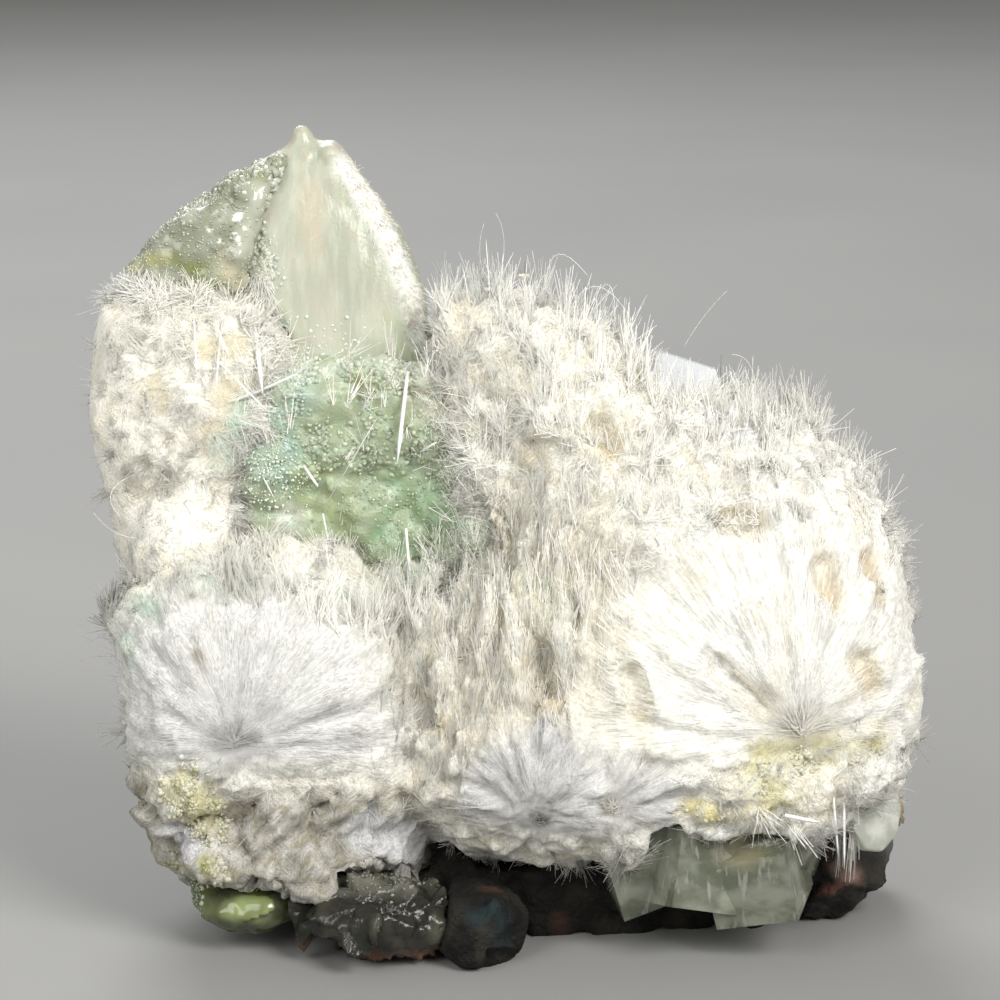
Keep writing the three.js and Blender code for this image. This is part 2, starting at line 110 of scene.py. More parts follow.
class Finish:
    """A material while it is being made."""

    def __init__(self, name, **constants):
        self.material = bpy.data.materials.new(name)
        self.material.use_nodes = True
        self.nodes = self.material.node_tree.nodes
        self.links = self.material.node_tree.links
        self.shader = self.nodes["Principled BSDF"]
        self.place = self.node("ShaderNodeTexCoord", {}, {}, "Object")
        self.mm = self.vector("SCALE", self.place, scale=1 / MM)
        for socket, value in constants.items():
            self.shader.inputs[socket.replace("_", " ").title().replace("Ior", "IOR")].default_value = value

    def node(self, kind, settings, sockets, output=0):
        made = self.nodes.new(kind)
        for name, value in settings.items():
            setattr(made, name, value)
        for key, value in sockets.items():
            self.feed(made.inputs[key], value)
        return Value(self, made.outputs[output])

    def feed(self, socket, value):
        if isinstance(value, Value):
            self.links.new(value.socket, socket)
        elif socket.type == "RGBA" and len(value) == 3:
            socket.default_value = (*value, 1)
        else:
            socket.default_value = value

    def vector(self, operation, first, second=None, scale=None):
        sockets = {0: first}
        if second is not None:
            sockets[1] = second
        if scale is not None:
            sockets["Scale"] = scale
        return self.node("ShaderNodeVectorMath", {"operation": operation}, sockets)

    def noise(self, where, scale, detail=2, roughness=0.5):
        sockets = {"Vector": where, "Scale": scale, "Detail": detail, "Roughness": roughness}
        return self.node("ShaderNodeTexNoise", {}, sockets)

    def fade(self, value, low, high):
        """0 below low, 1 above high, and a smooth step between them."""
        sockets = {"Value": value, "From Min": low, "From Max": high}
        return self.node("ShaderNodeMapRange", {"interpolation_type": "SMOOTHSTEP"}, sockets)

    def length(self, vector):
        return self.node("ShaderNodeVectorMath", {"operation": "LENGTH"}, {0: vector}, "Value")

    def mix(self, first, second, share):
        return self.node("ShaderNodeMix", {"data_type": "RGBA"}, {0: share, 6: first, 7: second}, 2)

    def painted(self, name="tint", output="Color"):
        """What was stored on the points: a colour, or with "Fac" a share from 0 to 1."""
        return self.node("ShaderNodeAttribute", {"attribute_name": name}, {}, output)

    def colour(self, value):
        self.feed(self.shader.inputs["Base Color"], value)

    def roughness(self, value):
        self.feed(self.shader.inputs["Roughness"], value)

    def bump(self, height, strength, distance_mm):
        sockets = {"Strength": strength, "Distance": distance_mm * MM, "Height": height}
        self.feed(self.shader.inputs["Normal"], self.node("ShaderNodeBump", {}, sockets))


# %% [markdown]
# The floor is a plain pale board. It reaches well behind the stone, so that it fills the view, and
# its paint has only a faint mottle. The lights are three soft boxes: a strong one at the front
# right, a weaker one at the left to open the shadows, and one behind that rims the needles.


# %% Floor and lights
def only(*pieces):
    """Selects these pieces alone, the last one active."""
    bpy.ops.object.select_all(action="DESELECT")
    for piece in pieces:
        piece.select_set(True)
    bpy.context.view_layer.objects.active = pieces[-1]


def wear(piece, finish):
    piece.data.materials.clear()
    piece.data.materials.append(finish.material)


bpy.ops.mesh.primitive_plane_add(size=3, location=(0, 0.9, 0))
floor = bpy.context.object
floor.name = "floor"
board = Finish("pale_board", roughness=0.7)
board.colour(board.mix((0.30, 0.30, 0.30), (0.34, 0.34, 0.335), board.noise(board.mm, 0.02)))
wear(floor, board)


def softbox(name, place, aim, size, watts, colour):
    bpy.ops.object.light_add(type="AREA", location=place)
    lamp = bpy.context.object
    lamp.name = name
    lamp.rotation_euler = (Vector(aim) - Vector(place)).to_track_quat("-Z", "Y").to_euler()
    lamp.data.size = size
    lamp.data.energy = watts
    lamp.data.color = colour
    return lamp


softbox("key", (0.27, -0.36, 0.34), (0, 0, 0.02), 0.24, 2.75, (1, 0.98, 0.95))
softbox("fill", (-0.28, -0.38, 0.30), (0, 0, 0.02), 0.32, 1.35, (1, 0.995, 0.97))
softbox("back", (-0.10, 0.38, 0.36), (0, 0, 0.03), 0.25, 1.4, (1, 1, 1))

bpy.context.scene.view_settings.view_transform = "Standard"
world = bpy.data.worlds.new("room")
bpy.context.scene.world = world
world.use_nodes = True
world.node_tree.nodes["Background"].inputs["Color"].default_value = (0.37, 0.367, 0.35, 1)
world.node_tree.nodes["Background"].inputs["Strength"].default_value = 0.75

# %% [markdown]
# ## Cores
#
# Every mass of crystals sits on a core. A core starts as a copy of its solid: the copy's loose
# triangles are merged, a voxel remesh gives it an even skin, and smoothing takes the facets away.
# Smoothing also shrinks it, so it is grown out again by a little. Each piece made here stands for a
# solid of the frame. That solid and the name of its mineral's material slot, as a pair, are its home.


# %% Copy a solid as a core
def finish_modifier(kind, **settings):
    piece = bpy.context.object
    bpy.ops.object.modifier_add(type=kind)
    modifier = piece.modifiers[-1]
    for name, value in settings.items():
        setattr(modifier, name, value)
    bpy.ops.object.modifier_apply(modifier=modifier.name)


def core_of(node, name, voxel, rounds, grow=0.0):
    """A smooth, even copy of a solid. Sizes are in millimetres."""
    piece = bpy.data.objects.new(name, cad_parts[node].data.copy())
    bpy.context.scene.collection.objects.link(piece)
    only(piece)
    piece.data.materials.clear()
    bpy.ops.object.mode_set(mode="EDIT")
    bpy.ops.mesh.select_all(action="SELECT")
    bpy.ops.mesh.remove_doubles(threshold=1e-6)
    bpy.ops.object.mode_set(mode="OBJECT")
    finish_modifier("REMESH", mode="VOXEL", voxel_size=voxel * MM)
    finish_modifier("SMOOTH", factor=0.5, iterations=rounds)
    if grow:
        finish_modifier("DISPLACE", strength=grow * MM, mid_level=0)
        finish_modifier("REMESH", mode="VOXEL", voxel_size=voxel * MM)
        finish_modifier("SMOOTH", factor=0.5, iterations=3)
    bpy.ops.object.shade_smooth()
    print(name, len(piece.data.polygons), "faces")
    return piece


BODY = ("okenite_mass", "okenite")
GREEN_ON_BODY = ("okenite_mass", "prehnite")
NEST = ("okenite_nest", "okenite_cream")
FIN = ("chalcedony_fin", "milky_chalcedony")
CRUST = ("drusy_crust", "druse")
POCKET = ("prehnite_pocket", "prehnite")
OVER_POCKET = ("prehnite_pocket", "okenite")
NODULE = ("prehnite_nodule", "olive_prehnite")
GREY_LUMP = ("foot_chalcedony", "grey_chalcedony")
BLOCKS_HOME = ("foot_crystals", "grey_crystal")
RIM = ("rim_blade", "grey_crystal")
ROCK = ("basalt_matrix", "basalt")


def dress(piece, home, finish):
    """Gives a piece its finish and its place in the frame."""
    node, slot = home
    wear(piece, finish)
    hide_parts(node)
    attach(piece, "root")


# %% [markdown]
# Relief is worked out in plain arrays, because thousands of points move at once. `points_of` reads a
# piece in millimetres, and `raise_by` moves its points along their normals.


# %% Points in, points out
noise.seed_set(3)  # without it, vector noise is shifted by the time at which the script starts


def unit(vectors):
    return vectors / np.maximum(np.linalg.norm(vectors, axis=1, keepdims=True), 1e-9)


def points_of(piece):
    """The points of a piece and their normals, in millimetres."""
    mesh = piece.data
    points = np.empty(len(mesh.vertices) * 3)
    mesh.vertices.foreach_get("co", points)
    normals = np.empty(len(mesh.vertices) * 3)
    mesh.vertices.foreach_get("normal", normals)
    return points.reshape(-1, 3) / MM, normals.reshape(-1, 3)


def raise_by(piece, heights):
    points, normals = points_of(piece)
    piece.data.vertices.foreach_set("co", ((points + normals * heights[:, None]) * MM).ravel())
    piece.data.update()


def bumps(points, size, seed=0.0):
    """Smooth noise from -1 to 1 at each point, with lumps about size millimetres across."""
    shift = Vector((seed * 17.3, seed * 5.1, seed * 9.7))
    return np.array([noise.noise(Vector(p) + shift) for p in points / size])


def near(points, centre, inner, outer):
    """1 within inner millimetres of a centre, 0 beyond outer, smooth between."""
    away = np.linalg.norm(points - np.array(centre), axis=1)
    t = np.clip((outer - away) / (outer - inner), 0, 1)
    return t * t * (3 - 2 * t)


def near_line(points, start, end, inner, outer):
    """The same for the distance to a straight line between two places."""
    start, end = np.array(start, float), np.array(end, float)
    way = end - start
    t = np.clip(((points - start) @ way) / (way @ way), 0, 1)
    return near(points - (start + t[:, None] * way), (0, 0, 0), inner, outer)


def near_path(points, path, inner, outer):
    """The same for the distance to a bent line through several places."""
    share = np.zeros(len(points))
    for start, end in zip(path, path[1:]):
        share = np.maximum(share, near_line(points, start, end, inner, outer))
    return share


def paint(piece, colours, name="tint"):
    """Stores one colour, or one share, per point for a material to read."""
    layer = piece.data.color_attributes.new(name, "FLOAT_COLOR", "POINT")
    rgba = np.ones((len(colours), 4), np.float32)
    rgba[:, :3] = colours
    layer.data.foreach_set("color", rgba.ravel())


def blended(base, colour, share):
    return base + (np.array(colour) - base) * share[:, None]


def layered(points, base, *layers):
    """One colour everywhere, then each layer's colour over it by that layer's share."""
    tint = np.tile(base, (len(points), 1))
    for colour, share in layers:
        tint = blended(tint, colour, share)
    return tint


def share_of(values):
    return np.clip(values, 0, 1)


# %% [markdown]
# ## Needles
#
# Okenite needles are thin laths, as wide at the tip as at the root. Here each is a sliver of four
# triangles: a short edge at the root, another at the tip and square to it. Thousands in one mesh
# cast real shadows, which gives okenite its depth. They are built from arrays, as no modelling tool
# would place so many. Each has its own colour, and its own small cell on a map for baking it.


# %% Needle makers
def scatter(piece, count, weigh, seed):
    """Random places on a piece, more of them where weigh(points, normals) is high."""
    mesh = piece.data
    mesh.calc_loop_triangles()
    corners = np.empty(len(mesh.loop_triangles) * 3, np.int32)
    mesh.loop_triangles.foreach_get("vertices", corners)
    points, normals = points_of(piece)
    corners = corners.reshape(-1, 3)
    a, b, c = (points[corners[:, i]] for i in range(3))
    area = np.linalg.norm(np.cross(b - a, c - a), axis=1) / 2
    middle = (a + b + c) / 3
    facing = unit(normals[corners].sum(1))
    weight = area * weigh(middle, facing)
    random = np.random.default_rng(seed)
    chosen = random.choice(len(weight), count, p=weight / weight.sum())
    s, t = random.random((2, count))
    flip = s + t > 1
    s[flip], t[flip] = 1 - s[flip], 1 - t[flip]
    place = a[chosen] + (b - a)[chosen] * s[:, None] + (c - a)[chosen] * t[:, None]
    share = np.stack([1 - s - t, s, t], 1)
    facing = unit((normals[corners[chosen]] * share[:, :, None]).sum(1))
    return place, facing


def across(directions, random):
    """A random unit vector square to each direction."""
    other = unit(random.normal(size=directions.shape))
    return unit(np.cross(directions, other))


def lean(directions, amount, random):
    """Each direction, tipped at random by about this amount."""
    sway = random.normal(0, amount, len(directions))
    return unit(directions + across(directions, random) * sway[:, None])


def needles(name, roots, directions, lengths, widths, colours, facing, seed=0):
    """One mesh of laths, each with an edge at the root and a shorter one, square to it, at the tip.

    They are shaded with the way the surface under them faces, as light spreads through such fibres.
    """
    random = np.random.default_rng(seed)
    side = across(directions, random) * (widths / 2)[:, None]
    other = np.cross(directions, side) * 0.6
    tips = roots + directions * lengths[:, None]
    corners = np.stack([roots + side, roots - side, tips + other, tips - other], 1)
    triangles = np.array([(0, 1, 2), (0, 3, 1), (0, 2, 3), (1, 3, 2)])
    inside = np.array([(0.06, 0.06), (0.94, 0.06), (0.5, 0.3), (0.5, 0.94)])
    made = mesh_of(name, corners, triangles, colours, inside)
    made.data.normals_split_custom_set_from_vertices(np.repeat(facing, 4, axis=0).tolist())
    return made


def mesh_of(name, corners, triangles, colours, inside):
    """
    Many copies as one piece: the corners of each in millimetres, the triangles of one, and a colour
    for each. Every copy has its own cell on the map, and inside says where its corners lie in it.
    """
    count, each = corners.shape[:2]
    corners = corners.reshape(-1, 3)
    faces = (triangles + each * np.arange(count)[:, None, None]).reshape(-1, 3)
    cells = math.ceil(math.sqrt(count))
    cell = np.stack([np.arange(count) % cells, np.arange(count) // cells], 1)
    flat = ((cell[:, None] + inside) / cells).reshape(-1, 2)
    mesh = bpy.data.meshes.new(name)
    mesh.vertices.add(len(corners))
    mesh.vertices.foreach_set("co", (corners * MM).ravel())
    mesh.loops.add(faces.size)
    mesh.loops.foreach_set("vertex_index", faces.ravel().astype(np.int32))
    mesh.polygons.add(len(faces))
    mesh.polygons.foreach_set("loop_start", np.arange(0, faces.size, 3, dtype=np.int32))
    mesh.update(calc_edges=True)
    layer = mesh.uv_layers.new(name="OFBake")
    layer.uv.foreach_set("vector", flat[faces.ravel()].astype(np.float32).ravel())
    piece = bpy.data.objects.new(name, mesh)
    bpy.context.scene.collection.objects.link(piece)
    paint(piece, np.repeat(colours, each, axis=0))
    print(name, len(faces), "triangles")
    return piece


# %% [markdown]
# ## The okenite body
#
# Okenite grows as balls of fine needles that all start from one point. The big balls on this piece
# are broken open, so their needles show as fans, and two small fans sit low at the front. Elsewhere
# the needles stand in tufts with clefts between them, hang in upright folds at the middle of the
# front, and are worn to a lumpy crust at the lower left. The core carries these forms, and the
# needles only finish them.

# %% Places on the body
LEFT_FAN = np.array((-14.5, -9.7, 12.4))
RIGHT_FAN = np.array((15.5, -9.9, 13.2))
LOW_FAN = np.array((1.6, -10.5, 8.8))
LOWER_FAN = np.array((5.4, -10.9, 9.1))
FANS = (
    (LEFT_FAN, 9.5, 1.6),
    (RIGHT_FAN, 12.0, 1.4),
    (LOW_FAN, 4.6, 1.2),
    (LOWER_FAN, 4.4, 1.2),
)
HOLLOWS = (
    ((0.7, -7.0, 26.2), (1.2, -6.8, 27.4), 1.0),
    ((4.7, -6.5, 28.8), (5.4, -6.6, 27.8), 0.8),
    ((11.8, -7.9, 24.4), (13.0, -7.9, 24.0), 0.9),
    ((16.9, -8.3, 21.6), (17.2, -8.3, 19.8), 0.8),
    ((19.2, -6.4, 21.4), (19.5, -6.6, 19.4), 0.9),
    ((19.1, -8.9, 16.4), (19.5, -8.6, 15.2), 0.8),
    ((11.4, -10.3, 16.6), (13.8, -10.3, 14.4), 0.7),
    ((1.6, -9.8, 17.0), (2.2, -10.2, 14.4), 0.9),
    ((6.6, -10.2, 16.2), (7.2, -10.4, 14.4), 0.6),
    ((-5.6, -8.6, 15.2), (-3.4, -8.8, 12.6), 0.7),
    ((-4.6, -8.4, 10.6), (-3.2, -8.0, 8.4), 0.6),
)
GRAINY = (
    ((-17.4, -9.6, 9.8), (-16.2, -9.6, 7.6), 1.5),
    ((-17.9, -6.6, 4.4), (-15.6, -9.2, 5.4), 1.0),
    ((13.4, -10.8, 11.4), (14.6, -10.6, 8.8), 1.2),
    ((14.8, -10.4, 11.4), (19.8, -8.4, 11.8), 0.8),
    ((9.6, -11.4, 9.0), (11.0, -11.0, 9.0), 0.7),
)
SMOOTH = (
    ((-8.0, -8.6, 7.8), (-5.0, -6.6, 5.2), 1.2),
    ((-18.2, -8.2, 7.2), (-17.2, -9.0, 6.2), 0.8),
    # Painted shade between the two low fans, kept bare of needles.
    ((1.9, -11.0, 13.0), (2.4, -11.1, 12.0), 0.5),
)

SWELLS = (
    ((-20.8, -5.2, 18.6), (-16.5, -6.5, 20.2), 1.4),
    ((-13.0, -6.0, 20.2), (-4.0, -5.0, 18.4), 1.0),
    ((-12.8, -4.6, 21.4), (-9.0, -4.6, 20.6), 1.2),
    ((-1.5, -4.4, 25.0), (-2.2, -4.4, 21.5), 1.1),
)
# Painted shade: places under the low fans, painted dark and kept bare of needles.
SHADED = (
    ((-2.6, -10.0, 6.0), (1.6, -10.8, 6.0), 1.2),
    ((1.6, -10.8, 6.0), (5.6, -10.8, 5.6), 0.9),
)
BLADE_SEAT = (9.8, -0.6, 30.7)
BESIDE_COLUMNS = ((-0.6, -6.0, 29.0), (-0.6, -6.6, 22.5))
UNDER_NEST = ((-21.0, -5.2, 18.6), (-18.0, -6.4, 19.6), (-15.4, -6.8, 20.6), (-13.4, -6.0, 21.6))
UNDER_POCKET = ((-13.8, -5.6, 20.2), (-10.0, -5.6, 18.6), (-6.0, -5.4, 18.0), (-3.0, -4.8, 19.6))
RIGHT_OF_POCKET = ((-3.2, -3.6, 31.8), (-2.6, -4.4, 28.0), (-1.2, -4.8, 25.0), (-2.0, -4.8, 21.5))
LEFT_OF_POCKET = ((-13.0, -3.0, 31.8), (-13.8, -4.0, 28.0), (-14.2, -4.6, 24.0), (-13.4, -5.2, 21.8))
OVER_NEST = ((-21.2, -0.6, 35.2), (-18.6, -2.4, 35.2), (-15.6, -2.6, 35.6), (-13.6, -1.6, 35.6))
BESIDE_FIN = ((-13.6, -1.6, 35.4), (-12.9, -2.4, 33.6), (-12.9, -3.2, 31.8))


def drift(points, size, seed):
    """A smooth random vector at each point, so that neighbours lean alike."""
    shift = Vector((seed * 3.7, seed * 11.3, seed * 7.9))
    return np.array([noise.noise_vector(Vector(p) + shift) for p in points / size])


def in_places(points, places, inner=0.6, outer=1.3):
    share = np.zeros(len(points))
    for start, end, size in places:
        share = np.maximum(share, near_line(points, start, end, size * inner, size * outer))
    return share


def fan_shares(points):
    """How much each point belongs to each fan, then to none. A fan ends a little below its centre."""
    left = np.ones(len(points))
    shares = []
    for centre, reach, below in FANS:
        under = share_of((points[:, 2] - centre[2] + below) / 2 + 0.5)
        share = near(points, centre, reach * 0.7, reach * 1.2) * under * left
        left = left - share
        shares.append(share)
    return shares, left


def column_share(points):
    """The middle of the front, where the needles hang together in upright folds."""
    return near(points * (1, 1, 0.8), (0.5, -9, 13), 6, 9) * (points[:, 2] > 7)


def rocky_share(points):
    """The lower left, under the broken ball, where the needles are worn to a crust."""
    edge = 10.2 - np.clip(points[:, 0] + 7, 0, 4) * 0.9
    return share_of((edge - points[:, 2]) / 1.4) * share_of((-2.5 - points[:, 0]) / 1.5)


# %% [markdown]
# Each form has its own noise. The absolute value of a smooth noise has sharp clefts between round
# tops, as tufts have. Drawn out upright it makes folds, and read from the direction to a fan's centre
# it makes rays. The distances to scattered cell centres give the cracked lumps of the crust.


# %% Core of the okenite body
def domes(points, size, seed=0.0):
    """Round tops with sharp clefts between them."""
    return np.abs(bumps(points, size, seed))


def tufts(points):
    """Heaped tufts: 0 in the clefts between them, about 1 on their tops."""
    bent = points + 0.7 * drift(points, 1.8, 3)
    return 1.8 * domes(bent, 2.7, 1) + 0.9 * domes(bent, 1.2, 2) + 0.25 * domes(bent, 0.6, 3)


def folds(points):
    """The same, drawn out upright."""
    upright = (points + 0.4 * drift(points, 1.5, 4)) * (1, 1, 0.12)
    return 1.7 * domes(upright, 1.4) + 1.0 * domes(upright, 0.55, 3) + 0.3 * bumps(points, 1.4, 5)


def drawn_out(points, way=(0.45, 0.1, 0.89), times=4):
    """The points pressed together along one way, so that noise read from them is drawn out along it."""
    way = np.array(way)
    return points - (1 - 1 / times) * (points @ way)[:, None] * way


def rays(points, centre, grain):
    """Noise that stays the same along each line from a centre, so that it makes rays."""
    return bumps(unit(points - centre), 1 / grain, seed=grain)


def creases(points, size, seed):
    """0 in the creases between scattered cells and 1 inside them, like a cracked surface."""
    shift = Vector((seed, seed * 2.3, seed * 3.1))
    away = np.array([noise.voronoi(Vector(p) + shift)[0][:2] for p in points / size])
    return np.clip((away[:, 1] - away[:, 0]) * 2.2, 0, 1)


def facets(points, size, seed):
    """A broken surface: each scattered cell is a flat face with a slope of its own."""
    shift = Vector((seed, seed * 2.3, seed * 3.1))
    heights = []
    for point in points / size:
        place = Vector(point) + shift
        middle = noise.voronoi(place)[1][0]
        heights.append((place - middle).dot(noise.noise_vector(middle * 7.3)))
    return np.array(heights) * size


def body_relief(points):
    shares, left = fan_shares(points)
    height = np.zeros(len(points))
    for (centre, reach, _), share in zip(FANS, shares):
        away = np.linalg.norm(points - centre, axis=1)
        grooves = 0.45 * np.abs(rays(points, centre, 3)) + 0.25 * rays(points, centre, 8) - 0.1
        grooves += (reach < 5) * (0.4 * rays(points, centre, 6) + 0.5 * near(points, centre, 1.0, 4.0) - 0.2)
        grooves += 0.16 * rays(points, centre, 17) + 0.25 * bumps(points, 1.6, 9)
        height += share * (grooves * share_of(away / 3) - 0.3 * share_of(1 - away / 0.4))
    rocky = left * rocky_share(points)
    columns = (left - rocky) * column_share(points)
    rest = left - rocky - columns
    broken = 0.6 * facets(points, 2.8, 6) + 0.55 * np.sqrt(creases(points, 2.8, 6)) - 0.15
    broken += 0.55 * domes(drawn_out(points), 0.8, 7) + 0.25 * domes(drawn_out(points), 0.4, 9)
    height += rocky * (1.3 * broken - 0.6)
    height += columns * 1.05 * (folds(points) - 0.6)
    height += rest * 0.75 * (tufts(points) - 0.75)
    height += in_places(points, GRAINY) * (0.4 * domes(points, 0.8, 17) - 0.25)
    height -= 1.2 * near(points, BLADE_SEAT, 1.3, 3.1)
    height -= 0.9 * near_line(points, *BESIDE_COLUMNS, 0.6, 2.2)
    return height - 0.8 * in_places(points, HOLLOWS, 0.2, 1.5) + 0.9 * in_places(points, SWELLS)


def patches(points, tint, spots):
    """Paints blurred spots: each is a colour, a place, another place and a radius."""
    ragged = (0.75 + 0.9 * bumps(points, 0.8, 7)).clip(0, 1)
    for colour, start, end, size in spots:
        tint = blended(tint, colour, near_line(points, start, end, size * 0.3, size * 1.3) * ragged)
    return tint


BEIGE = (0.64, 0.54, 0.37)
YELLOW_GREEN = (0.72, 0.68, 0.42)
MINT = (0.62, 0.74, 0.63)
OLIVE = (0.40, 0.40, 0.10)
LILAC = (0.64, 0.64, 0.645)
BODY_SPOTS = (
    (YELLOW_GREEN, (13.6, -10.6, 12.0), (19.6, -8.4, 12.2), 1.3),
    (YELLOW_GREEN, (13.2, -10.8, 10.8), (14.4, -10.6, 9.4), 1.4),
    ((0.86, 0.76, 0.36), (9.8, -11.4, 9.0), (10.8, -11.2, 8.7), 1.0),
    ((0.84, 0.78, 0.52), (12.2, -10.8, 9.0), (13.6, -10.6, 8.6), 1.0),
    (MINT, (-15.2, -7.1, 21.4), (-14.6, -7.3, 20.4), 1.2),
    (MINT, (-16.9, -7.3, 20.4), (-16.2, -7.3, 21.0), 0.9),
    (MINT, (-19.8, -7.2, 19.2), (-18.6, -7.4, 19.0), 0.9),
    (MINT, (-20.6, -7.2, 17.2), (-20.0, -7.4, 16.4), 0.9),
    (YELLOW_GREEN, (-17.3, -9.5, 9.8), (-16.0, -9.6, 8.2), 1.5),
    (OLIVE, (-17.5, -9.5, 9.5), (-17.2, -9.5, 8.6), 0.5),
    (OLIVE, (-17.9, -6.6, 4.2), (-17.5, -6.8, 3.8), 0.9),
    (OLIVE, (-16.0, -9.3, 5.4), (-15.4, -9.4, 5.2), 0.8),
    # Painted shade: grey-lilac and near-black between the two low fans.
    (LILAC, (2.0, -11.0, 13.4), (2.8, -11.1, 11.4), 1.3),
    ((0.10, 0.09, 0.07), (1.8, -11.0, 8.3), (2.2, -10.8, 7.0), 0.6),
    ((0.42, 0.38, 0.32), (-16.5, -9.8, 17.3), (-16.2, -9.8, 16.5), 0.45),
    # Painted shade: dark under the low fans.
    ((0.13, 0.12, 0.09), *SHADED[0]),
    ((0.26, 0.24, 0.17), *SHADED[1]),
    ((0.60, 0.57, 0.48), (3.4, -11.2, 7.0), (6.2, -11.0, 6.2), 0.4),
    (LILAC, (-7.6, -8.6, 7.0), (-4.8, -6.4, 5.6), 1.6),
    ((0.68, 0.69, 0.52), (1.2, -8.4, 20.6), (2.4, -8.6, 19.4), 1.4),
    ((0.84, 0.88, 0.94), (9.6, -3.2, 30.0), (12.6, -4.2, 28.4), 1.7),
    ((0.46, 0.62, 0.42), (-6.6, -6.0, 19.4), (-3.6, -4.4, 20.4), 1.5),
    # Painted light: the strip over the top of the ball lightened against the shade in its hollow.
    ((0.95, 0.95, 0.90), (-13.0, -6.6, 19.8), (-4.0, -6.4, 18.6), 1.6),
    ((0.56, 0.70, 0.56), (-12.6, -6.6, 20.0), (-9.0, -6.8, 19.6), 0.7),
    ((0.52, 0.62, 0.44), (-2.2, -4.6, 22.4), (-1.4, -4.8, 20.0), 1.1),
    ((0.70, 0.72, 0.58), (-2.0, -4.6, 28.0), (-1.6, -4.8, 25.0), 1.0),
)


def body_tint(points):
    """The colour of the okenite at each point: white at the right, cream in the folds and hollows, much of it
    painted light and shade.
    """
    shares, left = fan_shares(points)
    rocky = left * rocky_share(points)
    columns = (left - rocky) * column_share(points)
    clefts = np.clip(0.55 - tufts(points), 0, 0.5) * 2 * (left - rocky - columns)
    low_fans = []
    for centre, share in ((LOW_FAN, shares[2]), (LOWER_FAN, shares[3])):
        # Low fans grey with grey rays: partly their own tone, partly painted shade low on the front.
        low_fans += [
            ((0.74, 0.74, 0.745), share * 0.9),
            ((0.50, 0.49, 0.46), share * np.clip(rays(points, centre, 7) * 2.5 - 0.2, 0, 0.8)),
            ((0.34, 0.29, 0.22), near(points, centre, 0.1, 0.8) * 0.8),
        ]
    # Cracks and valleys of the lower-left crust, where shade is painted in.
    cracks = np.sqrt(1 - creases(points, 2.8, 6)) * share_of(0.35 + 1.4 * domes(points, 1.0, 8))
    valleys = np.clip(0.5 - domes(drawn_out(points), 0.8, 7) * 2.2, 0, 0.5)
    tint = layered(
        points, (0.90, 0.885, 0.80),
        # Whiter toward the right: partly the okenite's own tone, partly painted light where the key light
        # falls.
        ((0.94, 0.935, 0.89), share_of((points[:, 0] - 6) / 6) * 0.8),
        ((0.86, 0.79, 0.60), share_of(bumps(points, 2.4, 5) * 2 - 0.1) * 0.45),
        # Painted shade: darker cream in the clefts between the tufts.
        ((0.74, 0.66, 0.49), clefts * 0.7),
        # Painted shade: the upright folds darker overall, and darkest in the grooves between them.
        ((0.82, 0.80, 0.71), columns * 0.6),
        ((0.66, 0.58, 0.42), columns * np.clip(0.8 - folds(points), 0, 0.7)),
        # Painted shade: the left fan greyer, as it faces away from the key light.
        ((0.78, 0.78, 0.76), shares[0] * 0.95),
        *low_fans,
        # The crust grey, partly painted shade of the low left; painted shade in its cracks and valleys.
        ((0.70, 0.69, 0.65), rocky),
        ((0.24, 0.22, 0.17), rocky * cracks),
        ((0.38, 0.36, 0.28), rocky * valleys),
        ((0.40, 0.37, 0.26), rocky * np.clip(bumps(points, 0.7, 12) * 2.5 - 0.3, 0, 0.8)),
        # Painted shade: the crust darker towards the bottom.
        ((0.42, 0.41, 0.37), rocky * np.clip((5.5 - points[:, 2]) / 4, 0, 0.6)),
        # Beige in the hollows: partly the okenite's own tan, partly painted shade.
        (BEIGE, in_places(points, HOLLOWS, 0.2, 1.5) * 0.9),
        (LILAC, in_places(points, SMOOTH)),
    )
    return patches(points, tint, BODY_SPOTS)


body = core_of("okenite_mass", "okenite_body", 0.225, 5, grow=0.05)
points, normals = points_of(body)
raise_by(body, body_relief(points))
points, normals = points_of(body)
tint = body_tint(points)
for centre in (LEFT_FAN, RIGHT_FAN):
    tint = blended(tint, (0.25, 0.20, 0.13), near(points, centre, 0.05, 0.4))
paint(body, tint)
shares, left = fan_shares(points)
for number, share in enumerate(shares):
    paint(body, share[:, None], "fan%d" % number)
paint(body, (left * column_share(points))[:, None], "upright")

# %% [markdown]
# The finest needles are too many to model, so the finish draws them: thin streaks that lie three
# ways, in patches, and run outward from the centre within each fan. They shade the colour and dent
# the surface a little.

# %% Finish of the core
def strokes(finish, turn, size, drawn):
    """Noise drawn out along one direction: streaks of this size in a millimetre, drawn times as long."""
    laid = finish.node(
        "ShaderNodeMapping",
        {"vector_type": "TEXTURE"},
        {"Vector": finish.mm, "Rotation": [math.radians(angle) for angle in turn], "Scale": (1, 1, drawn)},
    )
    return finish.noise(laid, size, 2, 0.65)


